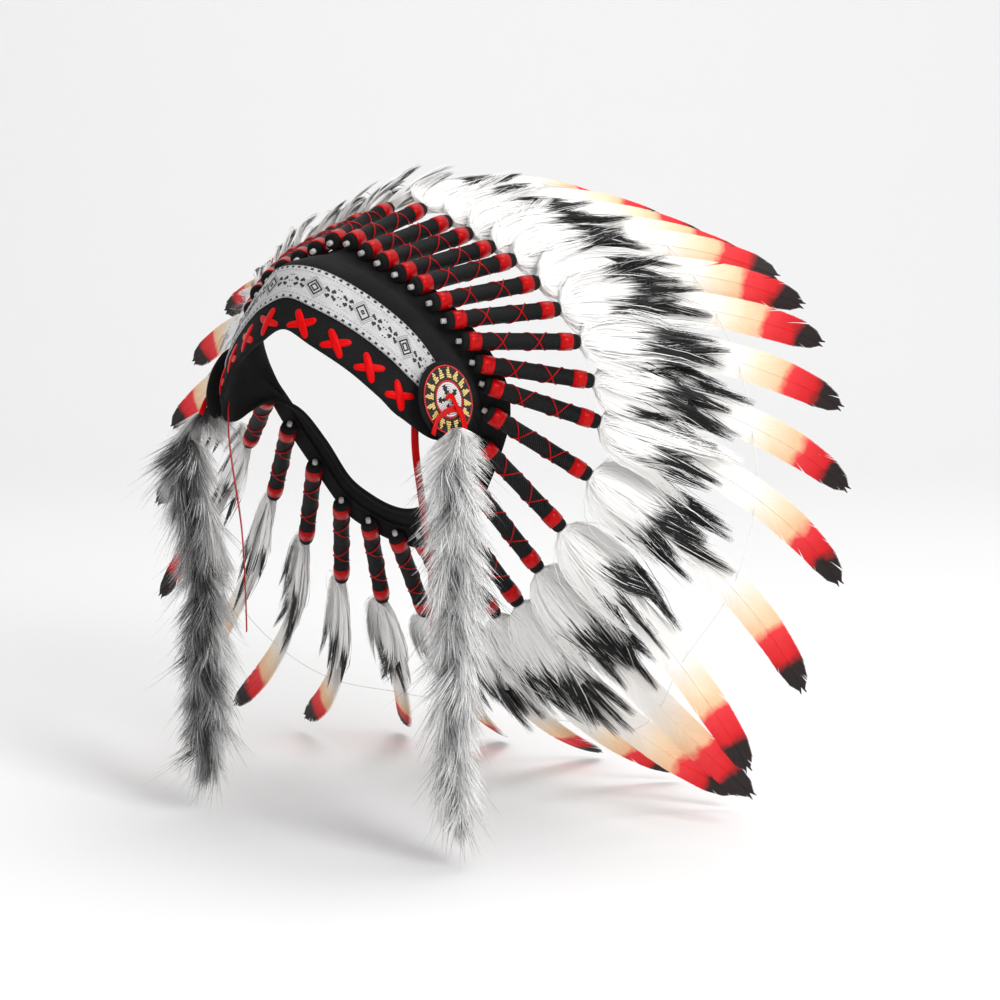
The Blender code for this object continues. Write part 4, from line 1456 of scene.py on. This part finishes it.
for label, side in SIDES:
    knot, _, _ = lace(f"lace_knot_{label}", KNOT_POINTS, 0.8 * LACE_WIDTH, side, KNOT_TWISTS, 0.15)
    made, path, run = lace(f"lace_{label}", LACE_POINTS, LACE_WIDTH, side, LACE_TWISTS, 0.10)
    for piece in (knot, made):
        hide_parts(f"rosette_lace_{label}")
        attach(piece, "root")
    print("lace", label, "mm:", round(run / MM, 1))

# %% Chin ribbons
CHIN_RIBBON_POINTS = np.array([
    # x, y, z of the left ribbon's middle line, in metres
    (0.0694, -0.0141, -0.0100),
    (0.0689, -0.0153, -0.0165),
    (0.0691, -0.0144, -0.0320),
    (0.0695, -0.0100, -0.0530),
    (0.0697, -0.0052, -0.0720),
    (0.0700, -0.0012, -0.0900),
    (0.0703, 0.0014, -0.1100),
    (0.0704, 0.0030, -0.1320),
    (0.0704, 0.0040, -0.1560),
])
CHIN_WIDTH = 4.5 * MM
CHIN_THICKNESS = 0.6 * MM
CHIN_TURN = math.radians(-33)
chin_face = np.array([math.cos(CHIN_TURN), math.sin(CHIN_TURN), 0.0])
for label, side in SIDES:
    name, size = f"chin_strip_{label}", (CHIN_WIDTH, CHIN_THICKNESS)
    made, path, run = strip(name, CHIN_RIBBON_POINTS, chin_face, *size, RED_SATIN, side)
    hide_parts(f"chin_ribbon_{label}")
    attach(made, "root")
    print("chin ribbon", label, "mm:", round(run / MM, 1))

# %% [markdown]
# ## Fur tails
#
# A long strip of soft fur hangs from each rosette. Its skin is narrow and its hair does the
# rest: short dense underfur, dark along a ridge and white at the sides, with a few long dark
# guard hairs. On the left tail the ridge is the pelt's own, narrow and grey. On the right tail,
# which hangs on the far side away from the light, the ridge is painted broad and nearly black,
# with dark tips: painted shade on top of the pelt's own ridge. The skin is a plain tapering
# body, and the hairs are grown from it, pointing down and out.

# %% Fur body
FUR_LENGTH = 232 * MM
FUR_WIDTH = 42 * MM
FUR_THICKNESS = 20 * MM
FUR_ROWS = np.array([
    # share of length, back share of width, inner face out share, width share, thickness share
    (0.00, -0.06, -0.012, 0.40, 0.40),
    (0.05, -0.28, 0.01, 0.78, 0.70),
    (0.13, -0.36, 0.01, 0.98, 0.95),
    (0.28, -0.22, -0.06, 1.00, 1.00),
    (0.42, -0.12, -0.10, 1.00, 1.00),
    (0.60, -0.12, -0.12, 0.92, 0.96),
    (0.78, -0.14, -0.12, 0.82, 0.90),
    (0.90, -0.10, -0.08, 0.62, 0.80),
    (1.00, 0.02, 0.04, 0.10, 0.20),
])
FUR_HANG = 0.36
SKIN_SHARE = 0.55
SKIN_GRID = (40, 16)
fur_top = disc_back + face_out * BEADWORK_TOP - face_up * 2 * DISC_RADIUS * FUR_HANG


def fur_line(share):
    """The tail's middle, half width and half thickness at shares of its length."""
    rows = spline(FUR_ROWS[:, 0], FUR_ROWS[:, 1:], share)
    half_wide = rows[:, 2] * FUR_WIDTH * 0.72 / 2
    half_thick = rows[:, 3] * FUR_THICKNESS / 2
    middle = np.stack([
        fur_top[0] + half_thick + GAP + rows[:, 1] * FUR_WIDTH,
        fur_top[1] + rows[:, 0] * FUR_WIDTH,
        fur_top[2] - np.ravel(share) * FUR_LENGTH,
    ], 1)
    return middle, half_wide, half_thick


def fur_skin(label, side):
    share = np.linspace(0.0, 0.97, SKIN_GRID[0])
    middle, wide, thick = fur_line(share)
    angle = 2 * math.pi * np.arange(SKIN_GRID[1]) / SKIN_GRID[1]
    x = middle[:, :1] + np.cos(angle) * thick[:, None] * SKIN_SHARE
    y = middle[:, 1:2] - np.sin(angle) * wide[:, None] * SKIN_SHARE
    points = np.stack(np.broadcast_arrays(x, y, middle[:, 2:]), -1)
    quads = grid_quads(*SKIN_GRID, round_columns=True)[:, ::-1]
    tone = np.full(x.size, 0.75)
    values = {"tone": tone, "change": 0.5 * tone}
    return new_piece(f"fur_skin_{label}", points, quads, FUR, values, side)


print("tail's top, mm:", (fur_top / MM).round(1))

# %% Fur hairs
FUR_HAIRS = 12500
FUR_WIDTHS = np.array([1, 1, 0.85, 0.6, 0.1])
UNDERFUR_LONG = (12, 23)
GUARD_LONG = (24, 36)
GUARD_SHARE = 0.05
TUFTS = 260
RIDGE_AND_SHADE_STRIPES = {
    # the dark ridge's angle round the tail, its breadth, its darkness, how dark the tips stay;
    # the right tail's broad, near-black ridge and dark tips are partly painted shade for the far side
    "left": (math.radians(66), 0.46, 0.95, 0.52),
    "right": (math.radians(116), 0.95, 1.08, 0.90),
}


def fur_hairs(label, side, chance):
    """Hairs in tufts: each tuft leans its own way, and its hairs close in towards its tip."""
    count = FUR_HAIRS
    tuft = chance.integers(0, TUFTS, count)
    tuft_share = np.sort(chance.random(TUFTS)) * 0.98
    tuft_angle = chance.random(TUFTS) * 2 * math.pi
    share = np.clip(tuft_share[tuft] + chance.normal(0, 0.012, count), 0, 0.985)
    angle = tuft_angle[tuft] + chance.normal(0, 0.28, count)
    middle, wide, thick = fur_line(share)
    out = np.stack([np.cos(angle), -np.sin(angle), np.zeros(count)], 1)
    root = middle + out * np.stack([thick, wide, thick], 1) * SKIN_SHARE
    guard = chance.random(count) < GUARD_SHARE
    long = np.where(guard, chance.uniform(*GUARD_LONG, count), chance.uniform(*UNDERFUR_LONG, count)) * MM
    top = 1 - smooth(share, 0.02, 0.22)
    long = long * (0.72 + 0.28 * wide / wide.max())
    lean = 0.50 + 0.80 * top + chance.normal(0, 0.24, TUFTS)[tuft] + chance.normal(0, 0.07, count)
    swing = chance.normal(0, 0.36, TUFTS)[tuft] + chance.normal(0, 0.07, count)
    down = np.array([0.0, 0.0, -1.0])
    side_way = np.stack([np.sin(angle), np.cos(angle), np.zeros(count)], 1)
    aim = unit(out * lean[:, None] + down * (1 - 0.35 * top[:, None]) + side_way * swing[:, None])
    step = np.linspace(0, 1, len(FUR_WIDTHS))[None, :, None]
    curl = side_way * (chance.normal(0, 0.30, TUFTS)[tuft] + chance.normal(0, 0.08, count))[:, None]
    sag = (down * 0.24)[None, None] + curl[:, None]
    paths = root[:, None] + (aim[:, None] * step + sag * step**2) * long[:, None, None]
    across = unit(np.cross(aim, out + 0.5 * chance.normal(0, 1, (count, 3))))
    width = np.where(guard, 0.32, 0.52)[:, None] * MM * FUR_WIDTHS
    # On the right tail the ridge's breadth, darkness and dark tips are painted shade for the far side,
    # turned towards the camera, on top of the pelt's own ridge; on the left tail the ridge is the pelt's
    # alone.
    ridge, breadth, darkness, tip_share = RIDGE_AND_SHADE_STRIPES[label]
    off = np.angle(np.exp(1j * (angle - ridge)))
    stripe = np.exp(-((off / breadth) ** 2))
    base = 0.03 + darkness * stripe + chance.normal(0, 0.10, TUFTS)[tuft] + chance.normal(0, 0.06, count)
    base = np.where(guard, 0.75, base)
    tip = np.where(guard, 1.0, base * tip_share)
    tone = np.clip(base[:, None] + (tip - base)[:, None] * step[..., 0] ** 1.5, 0, 1)
    values = {"tone": tone, "change": chance.random(count)[:, None] + 0 * tone}
    return strands(f"fur_hair_{label}", paths, width, across[:, None], FUR, values, side)


for label, side in SIDES:
    chance = np.random.default_rng(500 + (side < 0))
    for made in (fur_skin(label, side), fur_hairs(label, side, chance)):
        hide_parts(f"fur_tail_{label}")
        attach(made, "root")
print("fur hairs:", 2 * FUR_HAIRS)

# %% [markdown]
# ## The thread between the vanes
#
# A fine thread is run through all the vanes so that they stand evenly, tied with a small white
# knot at each shaft. It follows the vanes at one share of their length.

# %% Joining thread
TIE_SHARE = 0.60
TIE_BEHIND = 0.8 * MM
TIE_WIDTH = 0.5 * MM
KNOT_LONG = 2.4 * MM
KNOT_WIDE = 1.7 * MM


def joining_thread():
    ties = []
    for row in range(len(FEATHER_ROWS)):
        place, _, _, out = path_at(row, np.array([TIE_SHARE]))
        ties.append(place[0] - out[0] * TIE_BEHIND)
    ties = np.array(ties)
    ring = np.concatenate([ties[::-1] * FLIP, ties])
    marks = np.arange(len(ring), dtype=float)
    path = spline(marks, ring, np.linspace(0, len(ring) - 1, 8 * len(ring)))[None]
    up = np.array([0.0, 0.0, 1.0])
    made = strands("joining_thread", path, TIE_WIDTH, up, WHITE_YARN, None, 1, ROUND_STRANDS)
    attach(made, "root")
    return ring


def thread_knots(ring):
    """A knot at each shaft, from the same round form as a bead but in white yarn."""
    form = bead_form()
    along = unit(np.gradient(ring, axis=0))
    out = unit(np.cross(along, np.array([0.0, 1.0, 0.3])))
    size = (KNOT_LONG, KNOT_WIDE, KNOT_WIDE)
    made = copies("thread_knots", form, ring, along, out, size, WHITE_YARN)
    bpy.data.objects.remove(form, do_unlink=True)
    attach(made, "root")


ties = joining_thread()
thread_knots(ties)
print("knots tied:", len(ties))

# %% [markdown]
# ## Floor, light and camera
#
# The headdress is shown as it is worn, so it hangs in the air over a plain pale floor that
# curves up behind it. A broad light from the right and front, a softer one from above, a weak
# low one that lifts the shade on the fur and a bright surround give clean whites with gentle
# shade on the far side.

# %% Stage
CAMERA_AZIMUTH = 36
CAMERA_RISE = 6
CAMERA_DISTANCE = 1.4
LENS = 84
SHIFT = (0.166, -0.109)
FLOOR_Z = CAD_BOX[0][2] - 4 * MM
WALL_FROM = 1.6
PALE_FLOOR, _, _ = new_finish("pale_floor", (0.93, 0.93, 0.93), 0.9)


def backdrop():
    """A floor that turns up into a wall behind the object, as seen from the camera."""
    turn = np.linspace(0, math.pi / 2, 13)
    away = np.concatenate([[-6.0, -2.0, 0.0], WALL_FROM + np.sin(turn)])
    rise = np.concatenate([[0, 0, 0], 1 - np.cos(turn)])
    away, rise = np.append(away, WALL_FROM + 1), np.append(rise, 6.0)
    wide = np.linspace(-7, 7, 3)
    view = math.radians(CAMERA_AZIMUTH)
    forward = np.array([-math.sin(view), math.cos(view), 0])
    right = np.array([math.cos(view), math.sin(view), 0])
    points = away[:, None, None] * forward + wide[None, :, None] * right
    points = points + (rise + FLOOR_Z)[:, None, None] * np.array([0, 0, 1.0])
    made = new_piece("backdrop", points, grid_quads(len(away), 3)[:, ::-1], PALE_FLOOR)


backdrop()
print("floor at, mm:", round(FLOOR_Z / MM))

# %% Camera and lights
LIT_POINT = (0, 0.1, 0)
LIGHTS = (
    # name, place in metres, size in metres, watts
    ("key", (2.2, -0.7, 1.5), 1.0, 38),
    ("top", (0.3, 0.5, 2.2), 1.4, 18),
    ("low_fill", (1.3, -1.7, -0.1), 1.2, 6),
)
SURROUND = 0.62


def aim(obj, place, target):
    obj.location = place
    direction = np.array(target) - np.array(place)
    turn = math.atan2(direction[1], direction[0]) - math.pi / 2
    tilt = math.atan2(direction[2], math.hypot(direction[0], direction[1])) + math.pi / 2
    obj.rotation_euler = (tilt, 0, turn)
    bpy.context.scene.collection.objects.link(obj)


def area_light(name, place, size, watts):
    light = bpy.data.lights.new(name, "AREA")
    light.size = size
    light.energy = watts
    aim(bpy.data.objects.new(name, light), place, LIT_POINT)


azimuth, rise = math.radians(CAMERA_AZIMUTH), math.radians(CAMERA_RISE)
looking = np.array([math.sin(azimuth) * math.cos(rise), -math.cos(azimuth) * math.cos(rise), math.sin(rise)])
lens = bpy.data.cameras.new("camera")
lens.lens = LENS
lens.shift_x, lens.shift_y = SHIFT
camera = bpy.data.objects.new("camera", lens)
aim(camera, looking * CAMERA_DISTANCE, (0, 0, 0))
bpy.context.scene.camera = camera

for light in LIGHTS:
    area_light(*light)
world = bpy.data.worlds.new("surround")
world.use_nodes = True
sky = world.node_tree.nodes["Background"]
sky.inputs["Color"].default_value = (1, 1, 1, 1)
sky.inputs["Strength"].default_value = SURROUND
bpy.context.scene.world = world
bpy.context.scene.view_settings.view_transform = "Standard"
print("camera at:", np.round(camera.location, 3))
